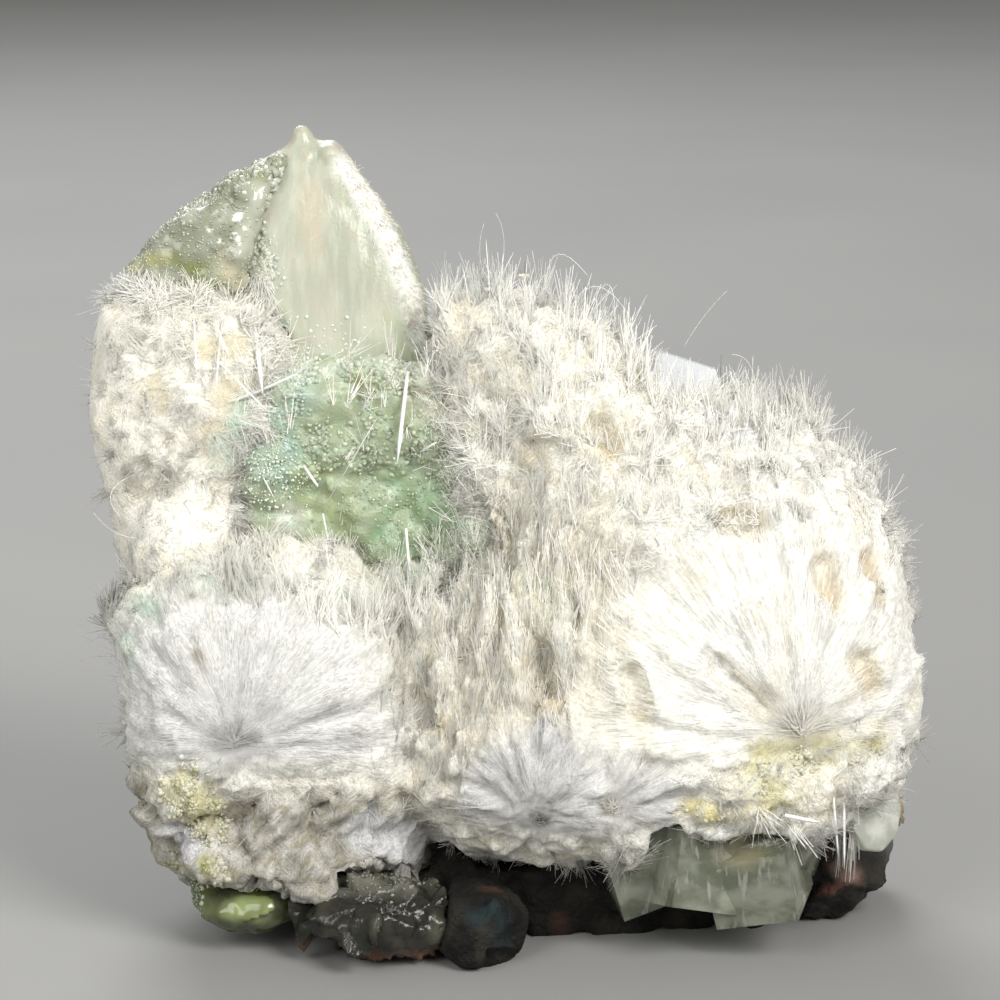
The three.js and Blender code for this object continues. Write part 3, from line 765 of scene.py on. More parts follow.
def fibrous(name, fans=(), depth=0.42):
    """White okenite, streaked three ways in patches, and from the centre of each fan outward."""
    finish = Finish(name, roughness=0.85, specular_ior_level=0.15)
    where = finish.noise(finish.mm, 0.7, 1)
    upright = strokes(finish, (12, 8, 0), 9, 9)
    leftward = strokes(finish, (20, -48, 10), 9, 8)
    rightward = strokes(finish, (-10, 52, 0), 9, 8)
    fibres = upright + (leftward - upright) * finish.fade(where, 0.52, 0.58)
    fibres = fibres + (rightward - fibres) * (1 - finish.fade(where, 0.42, 0.48))
    fibres = fibres + (upright - fibres) * finish.painted("upright", "Fac")
    for number, (centre, _, _) in enumerate(fans):
        away = finish.vector("SUBTRACT", finish.mm, tuple(centre))
        ray = finish.vector("SCALE", finish.vector("NORMALIZE", away), scale=1 + 0.012 * finish.length(away))
        fine = finish.noise(ray, 45, 3, 0.75)
        fibres = fibres + (fine - fibres) * finish.painted("fan%d" % number, "Fac")
    grain = finish.noise(finish.mm, 4, 3)
    lines = finish.fade(fibres, 0.36, 0.62) * 0.75 + finish.fade(grain, 0.3, 0.7) * 0.25
    finish.colour(finish.vector("SCALE", finish.painted(), scale=1.12 - depth + depth * lines))
    finish.bump(fibres + 0.4 * grain, 0.8, 0.12)
    return finish


dress(body, BODY, fibrous("okenite_core", FANS))

# %% [markdown]
# Over the core lie real needles, thin and short, which follow the way the ball under them grew as
# fur follows a comb. Over them come sprays: small bursts of longer laths that start at one point, as
# okenite does wherever it had room. The sprays crown the tufts and leave the clefts open.

# %% Combs and colours
needle_skin = Finish("okenite_needles", roughness=0.5, specular_ior_level=0.3)
needle_skin.colour(
    needle_skin.mix(needle_skin.painted(), (0.97, 0.965, 0.91), needle_skin.noise(needle_skin.mm, 0.6) * 0.3)
)


def whites(count, random, warm=0.5):
    """Needle colours from bright white to cream."""
    cream = random.random(count) ** 2 * warm
    base = np.tile((0.97, 0.965, 0.90), (count, 1))
    tone = blended(base, (0.92, 0.87, 0.68), cream)
    return tone * random.uniform(0.94, 1.02, count)[:, None]


def tangent(vectors, normals):
    return unit(vectors - normals * (vectors * normals).sum(1, keepdims=True))


def combed(roots, facing):
    """The way a lath lies on the body, and how wildly it may turn from it, from 0 to 1."""
    shares, left = fan_shares(roots)
    way = np.zeros_like(roots)
    for (centre, _, _), share in zip(FANS, shares):
        way += tangent(roots - centre, facing) * share[:, None]
    middle = column_share(roots)[:, None]
    upright = np.array((0, -0.1, 1.0)) + 0.35 * drift(roots * (1, 1, 0.3), 0.9, 22)
    tangled = np.array((0.05, -0.05, 0.5)) + 1.6 * drift(roots, 0.9, 21)
    rest = tangent(upright, facing) * middle + tangent(tangled, facing) * (1 - middle)
    return unit(way + rest * left[:, None]), left * (1 - 0.8 * middle[:, 0])


def laths(name, home, roots, facing, directions, lengths, widths, warm, seed, tint=None):
    """Laths as one piece. Shading leans to the way out of the whole patch, which evens it out."""
    random = np.random.default_rng(seed)
    way_out = unit(roots - roots.mean(axis=0) + facing * 3)
    tones = whites(len(roots), random, warm)
    if tint is not None:
        tones = tones * 0.55 + tint * 0.45
    shaded = unit(facing * 0.6 + way_out)
    made = needles(name, roots - facing * 0.05, directions, lengths, widths, tones, shaded, seed)
    dress(made, home, needle_skin)


# %% Low laths on the body
def short_at_sides(roots, facing):
    """Needles wear down where the piece is handled: short at the sides, long along the crest."""
    aside = share_of((facing[:, 1] + 0.55) / 0.4)
    crest = share_of(facing[:, 2] * 2 - 0.4) * (np.abs(roots[:, 0] - 4) < 14)
    return 1 - 0.6 * aside * (1 - crest)


def body_fur(name, count, weigh, seed):
    random = np.random.default_rng(seed)
    roots, facing = scatter(body, count, weigh, seed)
    way, wild = combed(roots, facing)
    rise = random.uniform(0.0, 0.10, count) + wild * random.uniform(0, 0.2, count)
    sway = (0.05 + 0.25 * wild)[:, None] * random.normal(size=(count, 3))
    directions = unit(way + facing * rise[:, None] + sway)
    inner = np.min([np.linalg.norm(roots - fan[0], axis=1) for fan in FANS], axis=0)
    lengths = random.uniform(0.3, 1.2, count) * np.clip(inner / 1.5, 0.3, 1) * short_at_sides(roots, facing)
    lengths *= (1 + 0.7 * column_share(roots)) * np.clip(0.8 + 1.3 * bumps(roots, 1.1, 19), 0.35, 1.6)
    widths = random.uniform(0.025, 0.05, count)
    tint = body_tint(roots)
    for centre, reach, _ in FANS:
        tint *= (1 + 0.25 * rays(roots, centre, 20) * near(roots, centre, reach * 0.8, reach))[:, None]
    laths(name, BODY, roots, facing, directions, lengths, widths, 0.4, seed, tint)


def bare(points):
    # Needles are also left off the painted shade under the low fans, so it stays dark.
    worn = in_places(points, GRAINY) * 0.9 + in_places(points, SMOOTH + SHADED) + 0.97 * rocky_share(points)
    return share_of(in_places(points, HOLLOWS, 0.2, 1.5) * 0.7 + worn)


def front(points, normals):
    """More laths at the front, where they are seen."""
    return ((normals[:, 1] < 0.25) * 1.0 + 0.4) * (1 - bare(points))


def low_left(points, normals):
    return front(points, normals) * (points[:, 0] < -5)


def low_middle(points, normals):
    return front(points, normals) * (points[:, 0] >= -5) * (points[:, 0] < 8) * (points[:, 2] < 21)


def low_right(points, normals):
    return front(points, normals) * (points[:, 0] >= 8) * (points[:, 2] < 24)


def high(points, normals):
    right = (points[:, 2] >= 24) * (points[:, 0] >= 8)
    middle = (points[:, 2] >= 21) * (np.abs(points[:, 0] - 1.5) < 6.5)
    return front(points, normals) * (right + middle) * (1 - 0.95 * near(points, BLADE_SEAT, 1.6, 3.4))


body_fur("left_ball_needles", 22000, low_left, 11)
body_fur("column_needles", 10000, low_middle, 12)
body_fur("right_ball_needles", 24000, low_right, 13)
body_fur("crest_needles", 15000, high, 14)


# %% Hearts of the fans
points, normals = points_of(body)
roots, facing, lengths = [], [], []
random = np.random.default_rng(15)
for centre, reach, _ in FANS:
    closest = np.argmin(np.linalg.norm(points - centre, axis=1))
    count = int(40 * reach ** 0.8)
    roots.append(points[closest] + random.normal(0, 0.15, (count, 3)))
    facing.append(np.tile(normals[closest], (count, 1)))
    lengths.append(random.uniform(0.05, 0.18, count) * reach)
roots, facing, lengths = np.concatenate(roots), np.concatenate(facing), np.concatenate(lengths)
ways = unit(across(facing, random) + facing * random.uniform(0.02, 0.15, (len(roots), 1)))
ways[:, 2] = np.abs(ways[:, 2])
widths = random.uniform(0.03, 0.06, len(roots))
laths("fan_hearts", BODY, roots, facing, ways, lengths, widths, 0.3, 15, body_tint(roots))


# %% Sprays
def sprays(name, piece, home, count, each, weigh, aim, spread, length, width, warm, seed):
    """Bursts of laths. aim(places, facing) gives each burst its middle way."""
    random = np.random.default_rng(seed)
    places, facing = scatter(piece, count, weigh, seed)
    axis = unit(aim(places, facing))
    number = random.integers(*each, count, endpoint=True)
    own = np.repeat(np.arange(count), number)
    total = len(own)
    size = (random.uniform(0.4, 1.4, count) * short_at_sides(places, facing))[own]
    opening = random.uniform(*spread, count)[own]
    sway = across(axis[own], random) * np.tan(opening * np.sqrt(random.random(total)))[:, None]
    directions = unit(axis[own] + sway)
    lengths = random.uniform(*length, total) * size
    widths = random.uniform(*width, total)
    roots = places[own] + random.normal(0, 0.10, (total, 3))
    laths(name, home, roots, facing[own], directions, lengths, widths, warm, seed)


def outside_fans(points, normals):
    _, left = fan_shares(points)
    tops = share_of(tufts(points) - 0.5) ** 1.5
    return front(points, normals) * left * (1 - 0.85 * column_share(points)) * tops


def crest_only(points, normals):
    return (normals[:, 2] > 0.15) * (points[:, 2] > 24) * (1 - near(points, BLADE_SEAT, 2.2, 3.8))


def in_columns(points, normals):
    _, left = fan_shares(points)
    return front(points, normals) * left * column_share(points)


def aimed(outward, way, wild, size, seed):
    """An aim for sprays: partly outward, partly one way, and partly a way that drifts with the place."""
    return lambda places, facing: facing * outward + np.array(way) + wild * drift(places, size, seed)


OUTWARD_UP = aimed(0.6, (0.0, -0.1, 0.6), 1.5, 1.3, 24)
MOSTLY_UP = aimed(0.3, (0.0, 0.0, 1.0), 0.35, 1.6, 25)
UPRIGHT = aimed(0.2, (0.0, -0.1, 1.0), 0.5, 1.3, 26)
for name, count, each, weigh, aim, spread, length, width, warm, seed in (
    ("small_sprays", 1800, (6, 15), outside_fans, OUTWARD_UP, (0.2, 0.9), (0.4, 1.8), (0.035, 0.075), 0.25, 41),
    ("crest_sprays", 520, (7, 18), crest_only, MOSTLY_UP, (0.12, 0.6), (0.4, 2.3), (0.03, 0.07), 0.2, 42),
    ("column_sprays", 420, (4, 10), in_columns, UPRIGHT, (0.08, 0.4), (0.5, 1.9), (0.03, 0.06), 0.5, 43),
):
    sprays(name, body, BODY, count, each, weigh, aim, spread, length, width, warm, seed)

# %% [markdown]
# ## Small crystals
#
# The green pocket, the crust and the nodule glitter because small crystals cover them. One crystal
# of each habit is modelled, its corners are read, and copies are set over a core, each with its own
# turn, size and colour.


# %% Crystal habits
def habit():
    """The corners and triangles of the active object, which is then removed."""
    piece = bpy.context.object
    piece.data.calc_loop_triangles()
    corners = np.array([v.co[:] for v in piece.data.vertices])
    triangles = np.array([t.vertices[:] for t in piece.data.loop_triangles])
    bpy.ops.object.delete()
    return corners, triangles


bpy.ops.mesh.primitive_cube_add(size=1, location=(0, 0, 0))
bpy.ops.object.mode_set(mode="EDIT")
CHIPS = (
    ((0.3, 0.3, 0.25), (1, 0.8, 1.2)),
    ((-0.3, -0.1, 0.3), (-1, 0.2, 0.9)),
    ((0.1, -0.35, 0.2), (0.3, -1, 0.7)),
)
for corner, slope in CHIPS:
    bpy.ops.mesh.select_all(action="SELECT")
    bpy.ops.mesh.bisect(plane_co=corner, plane_no=slope, clear_outer=True, use_fill=True)
bpy.ops.object.mode_set(mode="OBJECT")
GRAIN = habit()

bpy.ops.mesh.primitive_cylinder_add(vertices=6, radius=0.5, depth=1, location=(0, 0, 0))
bpy.ops.object.mode_set(mode="EDIT")
bpy.ops.mesh.select_all(action="DESELECT")
bpy.ops.object.mode_set(mode="OBJECT")
for face in bpy.context.object.data.polygons:
    face.select = face.normal.z > 0.9
bpy.ops.object.mode_set(mode="EDIT")
bpy.ops.mesh.extrude_region_move(TRANSFORM_OT_translate={"value": (0, 0, 0.3)})
bpy.ops.transform.resize(value=(0.25, 0.25, 1))
bpy.ops.object.mode_set(mode="OBJECT")
PRISM = habit()

bpy.ops.mesh.primitive_ico_sphere_add(subdivisions=1, radius=0.5, location=(0, 0, 0))
BEAD = habit()
print("triangles a crystal:", len(GRAIN[1]), len(PRISM[1]), len(BEAD[1]))


def sprinkle(name, home, finish, shape, places, facing, sizes, colours, seed, tip=0.5):
    """Copies of a habit. Sizes are one or three numbers a copy, in millimetres."""
    corners, triangles = shape
    count = len(places)
    random = np.random.default_rng(seed)
    up = lean(facing, tip, random)
    side = across(up, random)
    axes = np.stack([side, np.cross(up, side), up], 2)
    scaled = corners[None] * np.reshape(sizes, (count, 1, -1))
    placed = places[:, None] + np.einsum("nij,nkj->nki", axes, scaled)
    made = mesh_of(name, placed, triangles, colours, random.uniform(0.1, 0.9, (len(corners), 2)))
    dress(made, home, finish)


def gem(name, **constants):
    """A glassy finish in the painted colour, for small crystals."""
    finish = Finish(name, **constants)
    finish.colour(finish.mix(finish.painted(), (0.80, 0.84, 0.74), finish.noise(finish.mm, 2.0) * 0.12))
    return finish


def rods(name, home, finish, lines, seed):
    """Single crystals, each from a start to an end with a width."""
    starts, ends, widths = (np.array(column, float) for column in zip(*lines))
    sizes = np.stack([widths, widths * 0.7, np.linalg.norm(ends - starts, axis=1)], 1)
    white = np.tile((0.95, 0.95, 0.92), (len(lines), 1))
    middle = (starts + ends) / 2
    sprinkle(name, home, finish, PRISM, middle, unit(ends - starts), sizes, white, seed, tip=0.0)


def chips(random, count, least, most, odd=(0.6, 1.3)):
    """Three sizes for each of many grains: between two limits, and a little uneven."""
    return random.uniform(least, most, (count, 1)) * random.uniform(*odd, (count, 3))


# %% [markdown]
# ## The nest at the upper left
#
# The upper left is a nest of cream needles, tangled where they are long and felted lower down. Bald
# tan places show between them. The nest uses the same low laths and sprays as the body, but their
# ways are at random.

# %% Nest
nest = core_of("okenite_nest", "nest_body", 0.2, 5, grow=0.15)
BALD = (
    ((-15.0, -4.3, 30.2), (-13.6, -3.8, 29.6), 1.1),
    ((-15.6, -4.3, 28.0), (-14.4, -4.1, 27.0), 1.2),
    ((-16.2, -3.6, 32.6), (-14.4, -3.2, 32.8), 0.7),
    ((-19.0, -4.4, 30.8), (-18.6, -4.4, 29.8), 0.6),
)


def bald(points):
    return in_places(points, BALD, 0.5, 1.5)


points, normals = points_of(nest)
furry = (1 - bald(points)) * np.clip((points[:, 2] - 23) / 3, 0.25, 1)
furry = furry * np.clip((points[:, 0] + 22) / 4, 0.25, 1)
raise_by(nest, 0.42 * furry * (tufts(points) - 0.75) - 0.15 * bald(points))
points, normals = points_of(nest)
NEST_SPOTS = (
    ((0.70, 0.70, 0.54), (-13.0, -3.0, 31.0), (-13.6, -4.0, 29.6), 1.3),
    ((0.50, 0.66, 0.54), (-14.2, -4.2, 29.0), (-14.4, -4.2, 26.6), 1.1),
    ((0.56, 0.68, 0.54), (-14.2, -4.4, 25.6), (-13.6, -4.8, 22.4), 0.9),
    ((0.62, 0.72, 0.62), (-15.6, -4.4, 27.8), (-15.8, -4.4, 26.4), 0.6),
    (MINT, (-17.0, -6.0, 20.8), (-15.8, -6.2, 20.6), 1.2),
)


def nest_tint(points):
    tint = layered(
        points, (0.96, 0.94, 0.85),
        # Painted shade: darker cream in the clefts between the tufts.
        ((0.80, 0.72, 0.53), np.clip(0.6 - tufts(points), 0, 0.5)),
        ((0.70, 0.64, 0.48), bald(points) * 0.9),
    )
    return patches(points, tint, NEST_SPOTS)


paint(nest, nest_tint(points))
dress(nest, NEST, fibrous("nest_core", depth=0.24))


def felted_nest(points, normals):
    green = in_places(points, [spot[1:] for spot in NEST_SPOTS[:4]])
    worn = np.clip((points[:, 0] + 22) / 3, 0.1, 1)
    return (normals[:, 1] < 0.6) * (1 - 0.9 * bald(points)) * (1 - 0.7 * green) * worn


def open_nest(points, normals):
    return felted_nest(points, normals) * (points[:, 2] > 24.5)


NEST_AIM = aimed(0.7, (0, -0.1, 0.3), 1.3, 1.2, 31)
sprays(
    "nest_sprays", nest, NEST, 620, (6, 16), open_nest, NEST_AIM, (0.3, 1.1), (0.4, 1.7), (0.035, 0.08), 0.7, 31
)
random = np.random.default_rng(32)
roots, facing = scatter(nest, 15000, felted_nest, 32)
ways = tangent(1.5 * drift(roots, 1.0, 33) + 0.3 * random.normal(size=roots.shape), facing)
ways = unit(ways + facing * random.uniform(0, 0.25, (len(roots), 1)))
lengths, widths = random.uniform(0.3, 0.9, len(roots)), random.uniform(0.03, 0.055, len(roots))
laths("nest_needles", NEST, roots, facing, ways, lengths, widths, 0.5, 32, nest_tint(roots))

# %% [markdown]
# ## The fin
#
# The fin is milky chalcedony: smooth, faintly grooved from top to bottom, and waxy, so light enters
# it a little way. Its right edge and its left seam are rough and white with short needles, and sugary
# crystals cover its foot. Grooves and roughness are raised on the core, and colour is painted on it.

# %% Fin
FIN_EDGE = ((-8.9, 1.0, 41.9), (-7.4, 0.6, 39.6), (-6.2, 0.1, 37.0), (-5.3, -0.5, 34.6), (-4.7, -0.7, 32.3))
FIN_SEAM = ((-14.6, -0.8, 40.2), (-14.0, -1.2, 38.0), (-13.6, -0.7, 35.0), (-13.2, -2.6, 31.8))
fin = core_of("chalcedony_fin", "fin_body", 0.2, 6, grow=0.12)
points, normals = points_of(fin)
edge = near_path(points, FIN_EDGE, 0.3, 1.1)
seam = near_path(points, FIN_SEAM, 0.3, 1.2)
foot = share_of((34.5 - points[:, 2]) / 3)
grooves = 0.07 * bumps(points * (1, 1, 0.14), 0.9, 1) + 0.05 * bumps(points * (1, 1, 0.1), 0.4, 2)
rough = 0.22 * bumps(points, 0.7, 3) + 0.12 * bumps(points, 0.35, 4)
lobe = 0.35 * near(points, (-9.6, 0.8, 42.9), 0.3, 1.0) - 0.2 * near(points, (-10.5, 0.8, 42.6), 0.1, 0.5)
raise_by(fin, grooves + (edge + 0.6 * seam + 0.3 * foot) * rough + 0.1 * edge + lobe)
tint = layered(
    points, (0.47, 0.49, 0.39),
    ((0.55, 0.54, 0.45), share_of(bumps(points * (1, 1, 0.3), 2.5, 5) * 2)),
    ((0.66, 0.56, 0.43), near_line(points, (-10.8, 0, 41.0), (-10.5, 0, 37.0), 0.2, 1.1) * 0.55),
    ((0.42, 0.45, 0.28), near_line(points, (-9.2, 0.6, 41.6), (-8.8, 0.4, 39.8), 0.1, 0.5) * 0.6),
    ((0.50, 0.55, 0.40), near(points, (-5.9, -0.6, 33.0), 0.6, 2.2) * 0.8),
    ((0.55, 0.68, 0.48), share_of((32.6 - points[:, 2]) / 2.5) * 0.7),
    ((0.86, 0.86, 0.80), share_of(edge + 0.8 * seam)),
)
paint(fin, tint)
paint(fin, share_of(edge + seam + foot)[:, None], "rough")
wax = Finish("milky_chalcedony", subsurface_weight=0.35, subsurface_scale=0.0012)
wax.roughness(0.3 + 0.5 * wax.painted("rough", "Fac"))
streaks = wax.noise(wax.vector("MULTIPLY", wax.mm, (2.2, 2.2, 0.25)), 1.0, 3)
wax.colour(wax.mix(wax.painted(), (0.66, 0.68, 0.56), wax.fade(streaks, 0.4, 0.7) * 0.4))
wax.bump(streaks + 0.4 * wax.noise(wax.mm, 5, 3), 0.5, 0.12)
dress(fin, FIN, wax)


def on_edge(points, normals):
    return near_path(points, FIN_EDGE, 0.3, 1.1) * 1.0


def on_seam(points, normals):
    return near_path(points, FIN_SEAM, 0.3, 1.1) * (normals[:, 1] < 0.3)


random = np.random.default_rng(51)
for name, count, place, outward, way, wild, length, width, seed in (
    ("fin_edge_needles", 2600, on_edge, 0.3, (0.3, 0, -0.9), 0.5, (0.12, 0.45), (0.03, 0.08), 51),
    ("fin_seam_needles", 1500, on_seam, 0.25, (0.4, 0, -0.85), 0.3, (0.3, 1.2), (0.03, 0.06), 52),
):
    roots, facing = scatter(fin, count, place, seed)
    ways = unit(facing * outward + np.array(way) + wild * random.normal(size=roots.shape))
    lengths, widths = random.uniform(*length, count), random.uniform(*width, count)
    laths(name, FIN, roots, facing, ways, lengths, widths, 0.2, seed)
sugar = gem("sugar", roughness=0.15, specular_ior_level=0.7)


def on_fin_foot(points, normals):
    low = share_of((34.6 - points[:, 2]) / 3) ** 2
    left = near_path(points, FIN_SEAM, 0.5, 2.2) * 0.5
    return (low + left) * (normals[:, 1] < -0.2) * (points[:, 0] < -7.5)


random = np.random.default_rng(53)
roots, facing = scatter(fin, 900, on_fin_foot, 53)
pale = np.tile((0.84, 0.87, 0.78), (900, 1)) * random.uniform(0.85, 1.08, (900, 1))
sprinkle("fin_sugar", FIN, sugar, GRAIN, roots, facing, chips(random, 900, 0.05, 0.18), pale, 53)

# %% [markdown]
# ## The drusy crust
#
# Along the top left edge runs a crust of glassy grey-green crystals with olive stains, yellower at
# its left end. Its core is only lightly smoothed, and a few thousand chipped grains cover it.

# %% Crust
CRUST_SPOTS = (
    ((0.20, 0.23, 0.04), (-13.4, -0.4, 41.4), (-14.0, -0.6, 40.8), 0.5),
    ((0.20, 0.23, 0.05), (-18.0, -1.6, 37.2), (-16.8, -1.6, 36.6), 0.5),
    ((0.26, 0.28, 0.08), (-16.0, -1.4, 36.8), (-15.8, -1.3, 35.4), 0.7),
    ((0.50, 0.50, 0.24), (-21.0, 0.0, 36.4), (-18.6, -1.2, 37.2), 0.6),
    ((0.58, 0.54, 0.38), (-15.4, -1.3, 37.2), (-14.4, -1.3, 35.8), 0.9),
    ((0.52, 0.54, 0.44), (-13.6, -0.6, 40.6), (-14.2, -1.2, 37.6), 1.1),
)


def crust_tint(points):
    paler = share_of(bumps(points, 1.4, 6) * 1.6 + 0.5)
    return patches(points, layered(points, (0.27, 0.29, 0.20), ((0.50, 0.52, 0.43), paler)), CRUST_SPOTS)


crust = core_of("drusy_crust", "crust_body", 0.2, 3, grow=0.1)
points, normals = points_of(crust)
raise_by(crust, 0.2 * bumps(points, 0.9, 1) + 0.1 * bumps(points, 0.45, 2))
paint(crust, crust_tint(points) * 0.9)
druse = gem("druse", roughness=0.2, specular_ior_level=0.6)
dress(crust, CRUST, druse)
random = np.random.default_rng(61)


def crusted(points, normals):
    smooth = near_line(points, (-13.6, -0.6, 40.2), (-14.0, -1.2, 37.4), 0.4, 1.5)
    return (0.3 + (normals[:, 1] < 0.5)) * (1 - 0.8 * smooth)


def mostly_small(random, count, least, more):
    return least + more * random.random((count, 1)) ** 2 * random.uniform(0.7, 1.2, (count, 3))


roots, facing = scatter(crust, 2800, crusted, 61)
sizes = mostly_small(random, 2800, 0.10, 0.36)
colours = crust_tint(roots) * random.uniform(0.8, 1.25, (2800, 1))
colours = blended(colours, (0.70, 0.73, 0.64), random.random(2800) ** 6)
sprinkle("crust_crystals", CRUST, druse, GRAIN, roots, facing, sizes, colours, 61, tip=0.7)


def beside_crust(points, normals):
    """The crust thins out over the left edge of the fin."""
    return near_path(points, FIN_SEAM[:3], 0.2, 1.5) * (points[:, 2] > 36)


roots, facing = scatter(fin, 700, beside_crust, 62)
sizes = mostly_small(random, 700, 0.08, 0.26)
colours = blended(crust_tint(roots), (0.62, 0.64, 0.54), random.random(700) ** 0.5)
sprinkle("crust_on_fin", FIN, druse, GRAIN, roots, facing, sizes, colours, 62, tip=0.7)

# %% [markdown]
# ## The prehnite pocket
#
# The pocket is the green heart of the piece. Prehnite grows in round lumps with a sugary skin, here
# bluish at the left, yellower in the middle and a full green in the lobe at the right. The lumps are
# raised on the core from the distance to scattered cell centres, and grains and beads cover them.

# %% Pocket
POCKET_SPOTS = (
    ((0.37, 0.56, 0.45), (-13.2, -4.0, 27.6), (-12.0, -4.0, 26.6), 1.8),
    ((0.46, 0.64, 0.50), (-13.8, -3.8, 28.8), (-11.0, -3.2, 30.0), 1.3),
    ((0.40, 0.50, 0.26), (-10.6, -3.8, 25.4), (-9.2, -3.8, 23.0), 1.7),
    ((0.29, 0.46, 0.25), (-6.0, -4.1, 24.8), (-3.4, -4.1, 23.8), 1.6),
    ((0.28, 0.46, 0.26), (-7.2, -3.9, 22.6), (-5.6, -3.9, 21.6), 1.0),
    ((0.38, 0.42, 0.16), (-7.9, -3.0, 30.9), (-6.9, -2.9, 29.8), 0.6),
    ((0.60, 0.62, 0.46), (-6.0, -2.6, 31.6), (-3.6, -3.6, 28.6), 1.2),
    ((0.60, 0.66, 0.57), (-11.8, -3.8, 23.4), (-12.2, -3.6, 21.4), 1.0),
    ((0.55, 0.66, 0.50), (-12.6, -3.7, 20.0), (-5.0, -3.7, 19.0), 1.3),
)


def lumps(points, size, seed):
    """Round lumps: highest at the centre of each cell, 0 to 1."""
    shift = Vector((seed, seed * 2.3, seed * 3.1))
    away = np.array([noise.voronoi(Vector(p) + shift)[0][0] for p in points / size])
    return 1 - share_of(away * 1.3) ** 2


def pocket_tint(points):
    tint = np.tile((0.40, 0.50, 0.32), (len(points), 1))
    tint = patches(points, tint, POCKET_SPOTS) * (0.92, 0.85, 0.88)
    rim = 1 - near(points * (1, 1, 0.9), (-8.0, -4.0, 22.3), 5.0, 7.4)
    return blended(tint, (0.74, 0.77, 0.68), rim * np.clip(0.6 + bumps(points, 1.0, 15), 0, 0.85))


pocket = core_of("prehnite_pocket", "pocket_body", 0.2, 5, grow=0.1)
points, normals = points_of(pocket)
rim = [near_path(points, path, 0.6, 2.4) for path in (LEFT_OF_POCKET, RIGHT_OF_POCKET, UNDER_POCKET)]
round_lumps = 0.8 * lumps(points, 2.6, 1) + 0.3 * lumps(points, 1.0, 2) + 0.12 * bumps(points, 0.5, 3)
raise_by(pocket, round_lumps - 0.6 + 0.6 * np.max(rim, axis=0) + 1.2 * rim[1])
paint(pocket, pocket_tint(points))
prehnite = Finish(
    "prehnite", roughness=0.25, subsurface_weight=0.3, subsurface_scale=0.001, coat_weight=0.2
)
cloud = prehnite.noise(prehnite.mm, 1.2, 4)
prehnite.colour(prehnite.mix(prehnite.painted(), (0.56, 0.68, 0.52), prehnite.fade(cloud, 0.45, 0.75) * 0.5))
prehnite.bump(prehnite.noise(prehnite.mm, 6, 3), 0.6, 0.12)
dress(pocket, POCKET, prehnite)


def in_pocket(points, normals):
    clusters = np.clip(bumps(points, 1.5, 8) * 2 + 0.5, 0.05, 1)
    return (normals[:, 1] < 0.2) * clusters


def bead_corner(points, normals):
    return near_line(points, (-15.4, -4.0, 28.0), (-12.6, -4.0, 25.6), 1.0, 2.8) * (normals[:, 1] < 0) + 0.02


random = np.random.default_rng(71)
green = gem("prehnite_crystals", roughness=0.15, specular_ior_level=0.7)
roots, facing = scatter(pocket, 3600, in_pocket, 71)
sizes = chips(random, 3600, 0.08, 0.40)
colours = blended(pocket_tint(roots), (0.70, 0.78, 0.62), random.random(3600) ** 3 * 0.7)
colours = colours * random.uniform(0.75, 1.15, (3600, 1))
sprinkle("pocket_crystals", POCKET, green, GRAIN, roots, facing, sizes, colours, 71, tip=0.8)
# The pale beads are small glossy crystals whose white is partly a painted glint.
roots, facing = scatter(pocket, 460, bead_corner, 72)
glint_bead_skin = gem("pale_beads", roughness=0.08, specular_ior_level=0.8)
sizes = random.uniform(0.05, 0.17, 460)
pale = np.tile((0.84, 0.90, 0.84), (460, 1))
sprinkle("pocket_beads", POCKET, glint_bead_skin, BEAD, roots + facing * 0.08, facing, sizes, pale, 72)


def pocket_rim(points, normals):
    inner = near(points, (-8.4, -4.0, 24.5), 3.2, 6.0)
    return (normals[:, 1] < 0.2) * (0.12 + (1 - inner))


sprays(
    "pocket_sprays", pocket, OVER_POCKET, 230, (4, 12), pocket_rim,
    aimed(0.5, (0.1, -0.2, 0.6), 1.0, 1.4, 73), (0.15, 0.7), (0.6, 2.2), (0.03, 0.07), 0.3, 73,
)

# %% [markdown]
# The masses don't stop at lines: needles of one grow over the edge of the next. Along each seam lie
# fine needles in every direction. Above the broken ball narrow sprays rise over the green, and at the
# lower right thin bundles hang over the foot.


# %% Seams between the masses
def seam(name, piece, home, path, count, reach, way, seed, longest=1.4):
    """Fine needles along a bent line on one piece, all ways, but mostly one."""

    def along(points, normals):
        return near_path(points, path, reach * 0.3, reach) * (normals[:, 1] < 0.8)

    random = np.random.default_rng(seed)
    roots, facing = scatter(piece, count, along, seed)
    ways = np.array(way) + 1.5 * drift(roots, 0.8, seed) + 0.5 * random.normal(size=roots.shape)
    ways = unit(tangent(ways, facing) + facing * random.uniform(0.05, 0.5, (count, 1)))
    lengths = random.uniform(0.3, longest, count)
    widths = random.uniform(0.03, 0.06, count)
    laths(name, home, roots, facing, ways, lengths, widths, 0.4, seed)


AROUND_POCKET = RIGHT_OF_POCKET + UNDER_POCKET[::-1]
seam("seam_under_nest", nest, NEST, UNDER_NEST, 2200, 1.4, (-0.4, -0.6, -2.6), 91)
seam("seam_over_ball", body, BODY, UNDER_NEST, 2200, 1.4, (-0.1, -0.6, 2.6), 92)
seam("seam_under_pocket", body, BODY, UNDER_POCKET, 1400, 1.8, (0, -0.2, 1), 93)
seam("seam_right_of_pocket", body, BODY, RIGHT_OF_POCKET, 2200, 2.2, (-0.8, -0.4, 0.3), 94, 1.8)
seam("seam_left_of_pocket", nest, NEST, LEFT_OF_POCKET, 2200, 1.5, (0.8, -0.4, 0), 95, 1.8)
seam("seam_beside_fin", nest, NEST, BESIDE_FIN, 1000, 1.4, (0.8, -0.3, 0.2), 99, 1.5)
seam("seam_over_nest", nest, NEST, OVER_NEST, 1800, 1.2, (0, -0.2, 1), 96, 1.9)
seam("haze_on_pocket", pocket, OVER_POCKET, AROUND_POCKET, 1500, 2.6, (0, 0, 1), 97)

